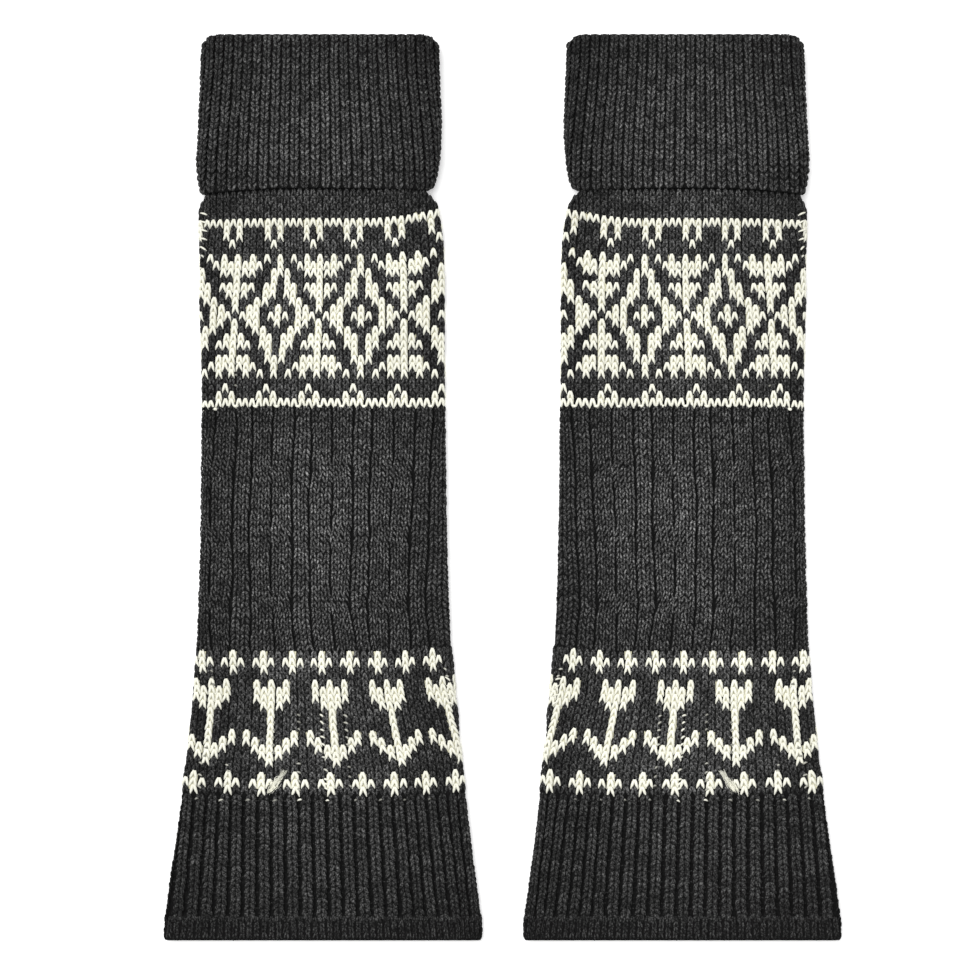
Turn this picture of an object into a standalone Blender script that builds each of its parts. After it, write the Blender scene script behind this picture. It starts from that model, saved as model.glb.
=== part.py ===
"""Pair of knitted boot warmers, laid flat side by side with their ribbed cuffs turned down.

Each warmer is one knitted tube pressed flat, so its front half lies on its back half. The tube's top is
turned down over the outside as a cuff, which gives four layers of knit there and two below it. The hem and
the cuff are ribbed, and the shin has cables between two smooth patterned bands.

X runs across the pair, Y up the legs towards the cuffs, and Z up from the surface they lie on. Lengths in
this file are millimetres until a vertex is written. "Up" is the distance up a warmer from its hem.
"""

from collections import namedtuple
from math import cos, pi, radians, sin, sqrt

import bmesh
import bpy

# The whole pair
LENGTH = 406.0            # hem to fold, 16 inches
CENTRE_OFFSET = 80.9      # from the pair's middle to each warmer's own centre line
MM = 0.001                # one millimetre in Blender's metres

# The knit
WALL = 2.6                # thickness of one layer of this double knit
GAP = 0.3                 # between two layers that lie on each other
LAYER = WALL + GAP
RIB_DEPTH = 1.2           # how far a rib stands over the recess beside it
EDGE_RIB_DEPTH = 0.4      # the same on the hem's firm edge
CABLE_DEPTH = 1.1
SIDE_RADIUS = 3.0         # how far in from the side a leg wall is rounded
HEM_LIP = 0.72            # share of the wall left at the hem's rounded edge
HEM_LIP_HEIGHT = 1.5

# Lines across a warmer, up from its hem
EDGE_BAND_TOP = 10.5      # firm edge under the hem's ribs
HEM_TOP = 64.5            # ribs end, lower patterned band starts
CABLES_START = 129.5
CABLES_END = 239.0
RAMP_START = 312.0        # the leg starts to climb onto the cuff's back layer
RAMP_END = 333.0
CUFF_EDGE = 336.9         # free lower edge of the turned-down cuff
RELIEF_EASE = 2.4         # length in which ribs or cables rise to their full depth

# The turned-down cuff
FOLD_RADIUS = WALL + GAP / 2          # outer radius of the fold at the top
FOLD_AXIS = LENGTH - FOLD_RADIUS      # height of the line that the cuff turns about
FOLD_STEPS = 6
LEG_STOP = 1.0            # the leg wall ends this far below the line that the fold turns about
INNER_LIP = 0.9           # share of the fold's radius kept by its inner lip, clear of the seam
CORNER_DROP = 2.6         # the fold's corners sit this much lower than its middle
CORNER_WIDTH = 7.0        # and that is eased in over this width
CORNER_REACH = 16.0       # and over this height
LINING_END = 0.4          # the fold's inner lip ends this far below the same line
LIP_SKIN = 1.9            # outer offset left at the cuff's rounded free edge
BOW_LEFT = 2.7            # the free edge hangs lower at the outer side
BOW_RIGHT = 0.9
BOW_TOP_AT = 0.45         # share of the width at which the free edge is highest
BOW_REACH = 13.0          # the bow fades out over this length

RIBS_ACROSS = 24          # ribs on the front of the cuff and of the hem
SIDE_COLUMNS = (0.006, 0.013)   # shares of the width to the extra columns by each side
HIDDEN_ACROSS = (0.9, 0.7, 0.5, 0.3, 0.1)   # columns of a wall's plain side, right to left
SHOULDER = 0.85           # height of a cable rib's shoulder, where its crown is 1
CABLE_PROFILE = ((0.0, 0.0), (0.2, SHOULDER), (0.5, 1.0), (0.8, SHOULDER))   # place and height
ARCH_CORNER = (0.0, 0.008, 0.016, 0.0265)   # columns of the cuff's plain side round its corner

CABLE_CROSSINGS = (151.3, 181.3, 210.1)
CROSSING_HALF = 4.6       # half the length in which a crossing hides the groove between its strands

Edge = namedtuple("Edge", "up left right")
Groove = namedtuple("Groove", "at in_crossing")
CuffRow = namedtuple("CuffRow", "up left right skin")
Column = namedtuple("Column", "at ridge")

# Sides of the leg from its own centre line
LEG_OUTLINE = (
    Edge(0.0, -70.6, 71.2),
    Edge(1.2, -71.5, 72.0),
    Edge(EDGE_BAND_TOP, -71.1, 71.8),
    Edge(27.3, -68.9, 69.4),
    Edge(45.2, -66.2, 67.1),
    Edge(HEM_TOP, -63.4, 64.8),
    Edge(81.0, -61.3, 62.7),
    Edge(107.9, -58.5, 60.4),
    Edge(CABLES_START, -56.6, 58.4),
    Edge(CABLE_CROSSINGS[0], -55.6, 57.3),
    Edge(CABLE_CROSSINGS[1], -54.7, 56.4),
    Edge(214.7, -54.3, 55.6),
    Edge(CABLES_END, -54.2, 55.2),
    Edge(286.9, -55.1, 55.1),
    Edge(RAMP_START, -55.4, 54.7),
    Edge(317.0, -55.4, 54.1),
    Edge(322.5, -55.3, 53.3),
    Edge(328.0, -55.2, 52.4),
    Edge(RAMP_END, -54.1, 50.2),
)

# Outer sides of the cuff, and the outer offset from the line that the fold turns about
CUFF_ROWS = (
    CuffRow(CUFF_EDGE, -54.2, 48.3, LIP_SKIN),
    CuffRow(338.6, -55.0, 50.0, FOLD_RADIUS - 0.2),
    CuffRow(341.2, -55.7, 51.3, FOLD_RADIUS),
    CuffRow(345.1, -56.3, 52.4, FOLD_RADIUS),
    CuffRow(349.9, -56.4, 53.2, FOLD_RADIUS),
    CuffRow(362.0, -55.8, 53.7, FOLD_RADIUS),
    CuffRow(376.4, -55.1, 53.3, FOLD_RADIUS),
    CuffRow(394.3, -54.6, 52.9, FOLD_RADIUS),
    CuffRow(FOLD_AXIS - 4.0, -54.4, 52.8, FOLD_RADIUS),
    CuffRow(FOLD_AXIS, -54.2, 52.6, FOLD_RADIUS),
)

# Grooves between the cable ribs, as a share of the width; a crossing hides those in its middle
CABLE_GROOVES = (
    Groove(0.061, True),
    Groove(0.143, False),
    Groove(0.213, False),
    Groove(0.301, True),
    Groove(0.383, False),
    Groove(0.449, False),
    Groove(0.538, True),
    Groove(0.626, False),
    Groove(0.698, False),
    Groove(0.787, True),
    Groove(0.882, False),
    Groove(0.951, False),
)

# Colours of the yarns, linear
CHARCOAL = (0.042, 0.043, 0.045, 1.0)
HEM_CHARCOAL = (0.026, 0.026, 0.028, 1.0)
BAND_MIX = (0.46, 0.45, 0.37, 1.0)


def yarn(name, colour):
    """A rough wool-like material of one colour."""
    material = bpy.data.materials.new(name)
    material.use_nodes = True
    shader = material.node_tree.nodes["Principled BSDF"]
    shader.inputs["Base Color"].default_value = colour
    shader.inputs["Roughness"].default_value = 0.92
    shader.inputs["Metallic"].default_value = 0.0
    material.diffuse_color = colour
    return material


def rounding(inset, radius):
    """Height of a quarter circle at a distance in from its start, from 0 to 1."""
    share = min(max(inset / radius, 0.0), 1.0)
    return sqrt(1.0 - (1.0 - share) ** 2)


def eased(value, start, end):
    """Smooth rise from 0 at start to 1 at end."""
    share = min(max((value - start) / (end - start), 0.0), 1.0)
    return share * share * (3.0 - 2.0 * share)


def between(rows, up, name):
    """A column of a table whose rows rise by up, read between two rows."""
    for low, high in zip(rows, rows[1:]):
        if up <= high.up:
            share = max(0.0, (up - low.up) / (high.up - low.up))
            return getattr(low, name) + share * (getattr(high, name) - getattr(low, name))
    return getattr(rows[-1], name)


def fold_line(up):
    """Left and right ends of the line midway between the cuff's layer and the leg's, at a height."""
    skin = between(CUFF_ROWS, up, "skin")
    return between(CUFF_ROWS, up, "left") + skin, between(CUFF_ROWS, up, "right") - skin


def leg_sides(up):
    """Left and right side of the leg's walls; inside the cuff they follow the fold line."""
    if up >= CUFF_EDGE:
        left, right = fold_line(up)
        return left + GAP / 2, right - GAP / 2
    inside = leg_sides(CUFF_EDGE)
    rows = LEG_OUTLINE + (Edge(CUFF_EDGE, *inside),)
    return between(rows, up, "left"), between(rows, up, "right")


def rib_columns():
    """Columns across a ribbed panel: a recess and a ridge for each rib."""
    count = 2 * RIBS_ACROSS
    columns = [Column(i / count, float(i % 2)) for i in range(count + 1)]
    near_left = [Column(at, 0.5) for at in SIDE_COLUMNS]
    near_right = [Column(1.0 - at, 0.5) for at in reversed(SIDE_COLUMNS)]
    return [columns[0], *near_left, *columns[1:-1], *near_right, columns[-1]]


def cable_columns(openness):
    """Columns across the cables. Openness is 1 between two crossings, and 0 where strands cross."""
    grooves = [groove.at for groove in CABLE_GROOVES]
    floor = [(1.0 - openness) if groove.in_crossing else 0.0 for groove in CABLE_GROOVES]
    columns = [Column(at, SHOULDER) for at in (0.0, *SIDE_COLUMNS, 0.5 * grooves[0])]
    for index, (start, end) in enumerate(zip(grooves, grooves[1:])):
        for share, height in CABLE_PROFILE:
            ridge = max(height, floor[index]) if share == 0.0 else height
            columns.append(Column(start + share * (end - start), ridge))
    columns.append(Column(grooves[-1], floor[-1]))
    last = (0.5 * (1.0 - grooves[-1]), *reversed(SIDE_COLUMNS), 0.0)
    return columns + [Column(1.0 - at, SHOULDER) for at in last]


def leg_columns(up):
    """Columns across the leg's front, going over from the hem's ribs to the cables in the lower band."""
    share = eased(up, HEM_TOP, CABLES_START)
    crossing = min(abs(up - middle) for middle in CABLE_CROSSINGS)
    pairs = zip(rib_columns(), cable_columns(min(1.0, crossing / CROSSING_HALF)))
    use_ribs = up <= HEM_TOP
    return [Column(rib.at + share * (cable.at - rib.at), rib.ridge if use_ribs else cable.ridge)
            for rib, cable in pairs]


def leg_relief(up):
    """How deep the recesses of the leg's front are at a height."""
    if up <= HEM_TOP:
        rise = eased(up, EDGE_BAND_TOP, EDGE_BAND_TOP + RELIEF_EASE)
        fall = eased(up, HEM_TOP - RELIEF_EASE, HEM_TOP)
        return (EDGE_RIB_DEPTH + (RIB_DEPTH - EDGE_RIB_DEPTH) * rise) * (1.0 - fall)
    rise = eased(up, CABLES_START, CABLES_START + RELIEF_EASE)
    fall = eased(up, CABLES_END - RELIEF_EASE, CABLES_END)
    return CABLE_DEPTH * rise * (1.0 - fall)


def leg_lift(up):
    """Height of the back wall's underside: on the surface, or on the cuff's back layer."""
    return LAYER * eased(up, RAMP_START, RAMP_END)


def hem_round(up):
    """Share of the wall's thickness left at the hem's rounded edge."""
    return HEM_LIP + (1.0 - HEM_LIP) * rounding(up, HEM_LIP_HEIGHT)


def corner_drop(across, width, up):
    """How far a point near the top of a side is let down, so that the fold's corners are round."""
    inset = min(across, 1.0 - across) * width
    near_top = eased(up, FOLD_AXIS - CORNER_REACH, FOLD_AXIS)
    return CORNER_DROP * (1.0 - rounding(inset, CORNER_WIDTH)) * near_top


def edge_bow(across, up):
    """How far the cuff's free edge, and the leg under it, are let down at this share of the width."""
    if across < BOW_TOP_AT:
        bow = BOW_LEFT * (1.0 - across / BOW_TOP_AT) ** 2
    else:
        bow = BOW_RIGHT * ((across - BOW_TOP_AT) / (1.0 - BOW_TOP_AT)) ** 2
    if up < CUFF_EDGE:
        return bow * eased(up, RAMP_START, CUFF_EDGE)
    return bow * (1.0 - eased(up, CUFF_EDGE, CUFF_EDGE + BOW_REACH))


def let_down(across, width, up):
    """How much lower than its section's height a point lies."""
    return corner_drop(across, width, up) + edge_bow(across, up)


def hidden_columns(count, width):
    """Columns across a plain wall, closer at its rounded sides."""
    sides = [0.0, 0.5 / width, 1.5 / width, SIDE_RADIUS / width]
    middle = [i / count for i in range(1, count)]
    return sides + middle + [1.0 - side for side in reversed(sides)]


def outline_stations():
    """Heights at which every leg wall has a section: those of its outline, then the cuff's."""
    leg = [row.up for row in LEG_OUTLINE]
    inside = [row.up for row in CUFF_ROWS[:-1]]
    return leg + inside + [FOLD_AXIS - LEG_STOP]


def relief_stations():
    """Heights at which the ribs and the cables of the leg's front start, end or cross."""
    ribs = [EDGE_BAND_TOP + RELIEF_EASE, HEM_TOP - RELIEF_EASE]
    cables = [CABLES_START + RELIEF_EASE, CABLES_END - RELIEF_EASE]
    for middle in CABLE_CROSSINGS:
        cables += [middle - CROSSING_HALF, middle + CROSSING_HALF]
    return ribs + cables


def leg_front_ring(up):
    """Section of the leg's front half at a height: its raised outer side, then its plain inner side."""
    left, right = leg_sides(up)
    width = right - left
    base = leg_lift(up) + LAYER
    depth = leg_relief(up)
    radius = SIDE_RADIUS if up < RAMP_END else WALL
    outer = []
    for column in leg_columns(up):
        inset = min(column.at, 1.0 - column.at) * width
        height = (WALL - depth * (1.0 - column.ridge)) * hem_round(up)
        drop = let_down(column.at, width, up)
        outer.append((left + column.at * width, up - drop, base + height * rounding(inset, radius)))
    inner = [(left + at * width, up - let_down(at, width, up), base)
             for at in HIDDEN_ACROSS]
    return outer + inner


def leg_back_ring(up):
    """Section of the leg's back half: a plain wall, flat below, with rounded sides."""
    left, right = leg_sides(up)
    width = right - left
    base = leg_lift(up)
    columns = hidden_columns(5, width)
    low = [(left + at * width, up - let_down(at, width, up),
            base + WALL * (1.0 - rounding(min(at, 1.0 - at) * width, SIDE_RADIUS)))
           for at in columns]
    high = [(left + at * width, up - let_down(at, width, up), base + WALL)
            for at in HIDDEN_ACROSS]
    return low + high


def fold_point(left, right, across, offset):
    """X and Z of a point at an offset outside the fold line, which turns a quarter circle at each side."""
    width = right - left
    seam = LAYER + WALL + GAP
    inset = min(across, 1.0 - across) * width
    radius = FOLD_RADIUS
    if inset >= radius:
        return left + across * width, seam + radius + offset
    turn = 0.5 * pi * inset / radius
    x = radius - (radius + offset) * cos(turn)
    z = seam + (radius + offset) * sin(turn)
    return (left + x if across < 0.5 else right - x), z


def cuff_ring(row_up, skin, turn, columns, inner_columns, depth):
    """Section of a cuff's front half. Turn is 0 on the cuff and goes to 180 degrees over the fold."""
    left, right = fold_line(row_up)
    width = right - left
    facing, rising = cos(turn), sin(turn)

    def point(across, offset):
        inward = offset * facing * (INNER_LIP if facing < 0.0 else 1.0)
        x, z = fold_point(left, right, across, inward)
        at = min(max((x - left) / width, 0.0), 1.0)
        return x, row_up - let_down(at, width, row_up) + offset * rising, z

    outer = [point(column.at, skin - depth * (1.0 - column.ridge)) for column in columns]
    inner = [point(at, GAP / 2) for at in reversed(inner_columns)]
    return outer + inner


def cuff_rings(columns, inner_columns, depth):
    """All sections of a cuff's front half, from its free edge up, over the fold and just inside."""
    rings = [cuff_ring(row.up, row.skin, 0.0, columns, inner_columns, depth) for row in CUFF_ROWS]
    for step in range(1, FOLD_STEPS + 1):
        turn = pi * step / FOLD_STEPS
        fade = 0.5 * (1.0 + cos(turn))
        rings.append(cuff_ring(FOLD_AXIS, FOLD_RADIUS, turn, columns, inner_columns, depth * fade))
    last = [(x, y - LINING_END, z) for x, y, z in rings[-1]]
    return rings + [last]


def close_end(shape, points, outer_count, side):
    """Faces across a loft's end, in a strip between its outer points and its inner ones."""
    outer, inner = points[:outer_count], points[:outer_count - 1:-1]
    i = j = 0
    while i < len(outer) - 1 or j < len(inner) - 1:
        outer_is_next = j == len(inner) - 1 or (
            i < len(outer) - 1 and side * (outer[i + 1].co.x - inner[j + 1].co.x) > 0.0)
        if outer_is_next:
            shape.faces.new((outer[i], outer[i + 1], inner[j]))
            i += 1
        else:
            shape.faces.new((outer[i], inner[j + 1], inner[j]))
            j += 1


def loft(name, rings, outer_count, materials, side, is_band):
    """A closed solid through rings of equal length, on the left (side -1) or the right (side 1)."""
    mesh = bpy.data.meshes.new(name)
    shape = bmesh.new()
    rows = [[shape.verts.new((side * (CENTRE_OFFSET - x) * MM, (y - LENGTH / 2) * MM, z * MM))
             for x, y, z in ring] for ring in rings]
    for low, high in zip(rows, rows[1:]):
        for i in range(len(low)):
            j = (i + 1) % len(low)
            face = shape.faces.new((low[i], low[j], high[j], high[i]))
            middle = face.calc_center_median().y / MM + LENGTH / 2
            face.material_index = 1 if is_band(middle) else 0
    for end in (rows[0], rows[-1]):
        close_end(shape, end, outer_count, side)
    bmesh.ops.recalc_face_normals(shape, faces=shape.faces)
    shape.to_mesh(mesh)
    shape.free()
    for material in materials:
        mesh.materials.append(material)
    mesh.shade_smooth()
    mesh.set_sharp_from_angle(angle=radians(50.0))
    return bpy.data.objects.new(name, mesh)


def in_pattern(up):
    """Whether a height lies in one of the two patterned bands."""
    return HEM_TOP < up < CABLES_START or CABLES_END < up < RAMP_START


def flipped(rings):
    """A cuff's rings turned over, to lie under the leg instead of on it."""
    thickness = 4 * WALL + 3 * GAP
    return [[(x, y, thickness - z) for x, y, z in ring] for ring in rings]


def warmer(name, side, materials):
    """The four solids of one warmer."""
    stations = outline_stations()
    front = [leg_front_ring(round(up, 3)) for up in sorted(set(stations + relief_stations()))]
    back = [leg_back_ring(up) for up in stations]
    arch = [*ARCH_CORNER, 0.2, 0.4, 0.6, 0.8, *(1.0 - at for at in reversed(ARCH_CORNER))]
    plain = [Column(at, 1.0) for at in arch]
    ribbed = cuff_rings(rib_columns(), arch, RIB_DEPTH)
    under = flipped(cuff_rings(plain, arch, 0.0))
    leg = (materials["leg"], materials["band"])
    cuff = (materials["cuff"],)
    across = len(rib_columns())
    under_leg = len(back[0]) - len(HIDDEN_ACROSS)
    return [
        loft(f"{name}_leg_front", front, across, leg, side, in_pattern),
        loft(f"{name}_leg_back", back, under_leg, leg, side, in_pattern),
        loft(f"{name}_cuff_front", ribbed, across, cuff, side, lambda up: False),
        loft(f"{name}_cuff_back", under, len(arch), cuff, side, lambda up: False),
    ]


def main():
    """Clear the scene and build the pair."""
    for old in list(bpy.data.objects):
        bpy.data.objects.remove(old)
    pair = bpy.data.collections.new("boot_warmers")
    bpy.context.scene.collection.children.link(pair)
    materials = {
        "leg": yarn("leg_yarn", HEM_CHARCOAL),
        "band": yarn("band_yarns", BAND_MIX),
        "cuff": yarn("cuff_yarn", CHARCOAL),
    }
    for name, side in (("left", -1), ("right", 1)):
        for solid in warmer(name, side, materials):
            pair.objects.link(solid)


main()
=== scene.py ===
"""The pair of knitted boot warmers, laid flat side by side on a pale floor.

Each warmer has two shells of cloth: the leg's tube, and the cuff turned down over its top. The knit that
shows on them is made stitch by stitch with Geometry Nodes, one piece for each zone of the pattern.

Lengths are millimetres until a mesh is written. "Up" is the distance up a warmer from its hem. "Around" is
the distance from a warmer's own centre line across its front, measured along the cloth, so it goes on round
a side.
"""

import logging
import random
from collections.abc import Callable, Iterable, Iterator
from dataclasses import dataclass, field
from enum import Enum
from math import acos, cos, exp, floor, pi, radians, sin, sqrt

import bpy
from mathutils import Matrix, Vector, noise


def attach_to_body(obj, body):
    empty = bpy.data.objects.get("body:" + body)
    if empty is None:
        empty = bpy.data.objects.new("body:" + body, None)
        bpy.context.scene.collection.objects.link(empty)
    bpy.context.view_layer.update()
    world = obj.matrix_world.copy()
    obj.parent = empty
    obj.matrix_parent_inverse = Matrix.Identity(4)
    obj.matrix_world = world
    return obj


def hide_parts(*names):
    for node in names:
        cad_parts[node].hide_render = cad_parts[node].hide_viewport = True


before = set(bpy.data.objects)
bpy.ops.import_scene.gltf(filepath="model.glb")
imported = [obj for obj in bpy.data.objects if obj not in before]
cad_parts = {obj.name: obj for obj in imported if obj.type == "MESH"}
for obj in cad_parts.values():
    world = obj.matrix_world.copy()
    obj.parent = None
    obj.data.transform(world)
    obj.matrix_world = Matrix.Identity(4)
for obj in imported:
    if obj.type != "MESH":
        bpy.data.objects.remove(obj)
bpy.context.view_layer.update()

LOG = logging.getLogger("boot_warmers")

Triple = tuple[float, float, float]
Colour = tuple[float, float, float, float]
Table = tuple[tuple[float, ...], ...]

MM = 0.001
LENGTH = 406.0
CENTRE_OFFSET = 80.9

# The knit's layers
WALL = 2.6
GAP = 0.3
LAYER = WALL + GAP
YARN_RISE = 0.8           # room left over a shell for the yarn of its stitches
TONE_SPREAD = 0.8         # how much lighter charcoal yarn of tone 1 is than that of tone 0
STITCH_HEIGHT = 2.3
CREAM_HEIGHT = 2.4        # the same of a cream stitch
STITCH_REACH = 4.6        # how far round a side the stitches go
CLOTH_ROW = 3.23          # height of a row on the bare cloth

# Lines across a warmer
EDGE_BAND_TOP = 10.5
HEM_TOP = 64.4
LOWER_BAND_TOP = 129.6
CABLES_END = 239.5
UPPER_BAND_TOP = 323.4
RAMP_START = 312.0
RAMP_END = 333.0
CUFF_EDGE = 336.9
LEG_END = 402.25

CABLE_PITCH = 2.442       # height of a row in the cables
RIB_PITCH = 2.396         # height of a row in the hem's and the cuff's ribs
EDGE_PITCH = 2.35         # the same in the hem's firm edge
CUFF_ROW = 3.12           # height of a row on the cuff's bare cloth
RIB_SHIFT = 5.05          # how far the middle of the cuff's ribs lies left of the centre line
HEM_ROWS = round((HEM_TOP - EDGE_BAND_TOP) / RIB_PITCH)

# Where the bands' rows start to run level again, round a side, and where they are level on the back
LEVEL_START, LEVEL_END = 64.0, 105.0

# The turned-down cuff
FOLD_RADIUS = WALL + GAP / 2
FOLD_AXIS = LENGTH - FOLD_RADIUS
CUFF_DROP = FOLD_AXIS - CUFF_EDGE
FOLD_ARC = pi * FOLD_RADIUS
INNER_LIP = 0.9
LINING_END = 0.4
HALF_STACK = 2 * WALL + 1.5 * GAP
CORNER_DROP = 2.6         # the fold's corners sit this much lower than its middle
CORNER_WIDTH = 7.0        # and that is eased in over this width
CORNER_REACH = 16.0       # and over this height
BOW_LEFT = 2.7            # the free edge hangs lower at the outer side
BOW_RIGHT = 0.9
BOW_TOP_AT = 0.45         # share of the width at which the free edge is highest
BOW_REACH = 13.0          # the bow fades out over this length

# Sines of the cloth's turn: where the front's stitches end, and where the back is bare of them
STITCHED_TO, BARE_FROM = -0.2, -0.75

# Columns: up, left side, right side
LEG_SIDES: Table = (
    (0.0, -70.6, 71.2), (1.2, -71.5, 72.0), (10.5, -71.1, 71.8), (27.3, -68.9, 69.4), (45.2, -66.2, 67.1),
    (64.5, -63.4, 64.8), (81.0, -61.3, 62.7), (107.9, -58.5, 60.4), (129.5, -56.6, 58.4),
    (151.3, -55.6, 57.3), (181.3, -54.7, 56.4), (214.7, -54.3, 55.6), (239.0, -54.2, 55.2),
    (286.9, -55.1, 55.1), (312.0, -55.4, 54.7), (317.0, -55.4, 54.1), (322.5, -55.3, 53.3),
    (328.0, -55.2, 52.4), (333.0, -54.1, 50.2), (336.9, -52.1, 46.2), (341.2, -52.8, 48.4),
    (349.9, -53.5, 50.3), (376.4, -52.2, 50.4), (394.3, -51.7, 50.0), (402.3, -51.3, 49.7),
)

# Columns: up, left side, right side, outer offset from the line midway to the leg
CUFF_SIDES: Table = (
    (336.9, -54.2, 48.3, 1.9), (338.6, -55.0, 50.0, 2.55), (341.2, -55.7, 51.3, 2.75),
    (345.1, -56.3, 52.4, 2.75), (349.9, -56.4, 53.2, 2.75), (362.0, -55.8, 53.7, 2.75),
    (376.4, -55.1, 53.3, 2.75), (394.3, -54.6, 52.9, 2.75), (399.25, -54.4, 52.8, 2.75),
    (403.25, -54.2, 52.6, 2.75),
)

# Painted light and shade on the leg's yarn, lightest in the cables' middle. Columns: up, lightness next to 1
# for the yarn as it is
LEG_PAINTED_LIGHT: Table = (
    (62.7, 0.65), (119.6, 0.65), (121.0, 0.88), (145.0, 1.05), (170.0, 1.24), (195.0, 1.3), (225.0, 1.14),
    (240.0, 0.84), (243.0, 0.71), (316.0, 0.7), (330.0, 0.62),
)

# Columns: up, then where the band's anchor wales lie
UPPER_ANCHORS = (5, 11, 17, 23, 29, 35)
UPPER_WALES: Table = (
    (248.9, -43.4, -25.1, -6.0, 13.9, 33.8, 53.7), (260.0, -43.4, -24.6, -5.4, 14.3, 33.6, 53.5),
    (295.9, -41.2, -21.5, -3.8, 14.5, 33.1, 53.9), (322.7, -39.4, -21.3, -4.0, 13.9, 32.2, 51.7),
)
LOWER_ANCHORS = (3, 11, 19, 27, 35)
LOWER_WALES: Table = (
    (70.8, -53.8, -23.4, 7.7, 36.3, 63.3), (78.8, -52.3, -23.5, 6.6, 35.6, 62.6),
    (111.6, -49.3, -22.5, 3.6, 29.1, 54.2), (124.7, -50.3, -22.9, 2.9, 28.0, 52.5),
)

# Columns: number of the rib, its place just under the lower band, its place at the hem's edge
HEM_RIBS: Table = (
    (-2.0, -70.6, -78.6), (0.0, -60.1, -65.8), (4.0, -38.0, -39.2), (8.0, -13.6, -12.7), (12.0, 11.0, 13.4),
    (16.0, 34.3, 39.0), (20.0, 53.7, 61.3), (22.0, 62.7, 70.0), (25.0, 76.0, 84.0),
)

# Grooves between the cable ribs at four heights; those with True vanish where strands cross
GROOVE_HEIGHTS = (131.0, 150.0, 195.0, 235.0)
GROOVES: tuple[tuple[bool, float, float, float, float], ...] = (
    (True, -49.9, -50.3, -50.2, -47.7), (False, -41.3, -40.6, -39.8, -38.3),
    (False, -31.9, -32.3, -32.5, -30.8), (True, -21.4, -22.6, -23.2, -21.8),
    (False, -12.1, -13.2, -13.6, -12.4), (False, -3.3, -5.7, -5.9, -4.6),
    (True, 6.2, 3.7, 4.2, 4.8), (False, 15.2, 12.7, 13.8, 14.2), (False, 21.8, 20.5, 21.3, 22.4),
    (True, 30.4, 29.5, 30.9, 32.2), (False, 40.0, 38.6, 40.1, 42.3), (False, 48.0, 46.6, 47.9, 49.8),
)
WALES_IN_RIB = (3, 3, 2, 3, 3, 2, 3, 3, 2, 3, 3, 2, 3)
CROSSINGS = (151.3, 181.3, 210.1)

# Charts. '#' is a cream stitch; each row reads outwards from the middle of its motif.
SMALL_TOP = ("####", ".#..", ".#..", "#...", "....")
SMALL_BOTTOM = ("....", "#...", ".#..", "####")
DIAMONDS = ("#.#.#.#", "#..####", "##..###", ".#....#", ".##.###", ".##..##", "..##..#", "#..##.#", "##.###.")
CROSS = ("#..", "##.", "#..")
TULIP = ("#.#..", "###..", "###..", "##...", "#....", "#....", "#....", "#..#.", "#.##.", "###..", "##...",
         "#....")

# Columns: across and up of one end, across and up of the other, reach to each side, height
LEG_CREASES: Table = (
    (44.0, 330.0, 26.0, 300.0, 5.0, -0.5), (-50.0, 331.0, -40.0, 296.0, 4.5, -0.45),
    (-6.0, 236.0, -14.0, 190.0, 9.0, 0.35), (28.0, 206.0, 38.0, 150.0, 8.0, -0.35),
    (-38.0, 150.0, -48.0, 96.0, 8.0, 0.35), (52.0, 120.0, 60.0, 60.0, 6.0, -0.4),
    (8.0, 112.0, 2.0, 66.0, 10.0, 0.3), (-58.0, 52.0, -64.0, 14.0, 5.0, -0.35),
    (30.0, 58.0, 36.0, 12.0, 9.0, 0.3),
)
CUFF_CREASES: Table = (
    (47.0, 342.0, 43.0, 398.0, 3.5, -0.5), (-49.0, 346.0, -47.0, 400.0, 3.5, -0.4),
    (2.0, 345.0, -3.0, 385.0, 14.0, 0.3),
)

# Ladders of short yarns that show between wales. Columns: across and up of the top rung, across and up of
# the bottom rung, number of rungs, length of a rung, how light the yarn is from 0 (charcoal) to 1 (cream)
LADDERS: Table = (
    (-52.8, 326.8, -53.5, 310.0, 5, 2.7, 1.0), (-53.6, 306.4, -54.6, 301.0, 2, 1.6, 0.7),
    (55.0, 121.6, 56.0, 118.4, 2, 1.6, 0.55), (56.2, 117.2, 57.6, 106.2, 4, 2.3, 0.9),
    (-0.3, 100.8, 0.4, 87.8, 5, 1.9, 0.75), (0.8, 82.0, 1.6, 76.4, 2, 2.0, 0.6),
    (1.6, 72.2, 1.9, 68.0, 3, 1.7, 0.9), (10.4, 100.6, 11.4, 87.6, 5, 1.7, 0.5),
    (-10.6, 101.0, -10.4, 94.6, 3, 1.5, 0.3), (-10.4, 79.2, -10.6, 67.6, 4, 1.9, 0.4),
    (-54.4, 79.4, -55.0, 68.8, 3, 1.9, 0.5), (-49.6, 120.6, -48.8, 114.8, 3, 1.4, 0.35),
    (-21.6, 97.6, -21.8, 84.2, 5, 1.3, 0.3), (-51.6, 90.0, -52.4, 82.6, 3, 1.5, 0.4),
    (12.0, 77.6, 12.6, 69.2, 3, 1.5, 0.35), (-42.6, 78.6, -42.2, 76.0, 2, 1.4, 0.5),
    (-20.4, 322.4, -19.4, 309.0, 4, 1.3, 0.3), (1.6, 306.0, 2.0, 296.0, 3, 1.2, 0.3),
    (38.6, 300.4, 38.4, 291.0, 3, 1.5, 0.4), (-38.4, 258.0, -38.8, 248.4, 3, 1.3, 0.3),
    (-45.2, 62.9, -45.2, 62.9, 1, 1.7, 0.6), (-33.2, 62.8, -21.0, 62.8, 2, 1.6, 0.35),
    (-9.8, 62.9, 2.7, 62.7, 2, 2.1, 0.95), (15.2, 62.9, 26.4, 62.9, 2, 1.4, 0.3),
    (-56.2, 63.6, -56.2, 63.6, 1, 1.4, 0.35), (37.1, 62.9, 48.3, 63.2, 2, 1.4, 0.2),
)

# Colours of the bare cloth's own yarns
YARN_DARK: Colour = (0.05, 0.051, 0.053, 1.0)
YARN_CREAM: Colour = (0.82, 0.80, 0.62, 1.0)


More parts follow.
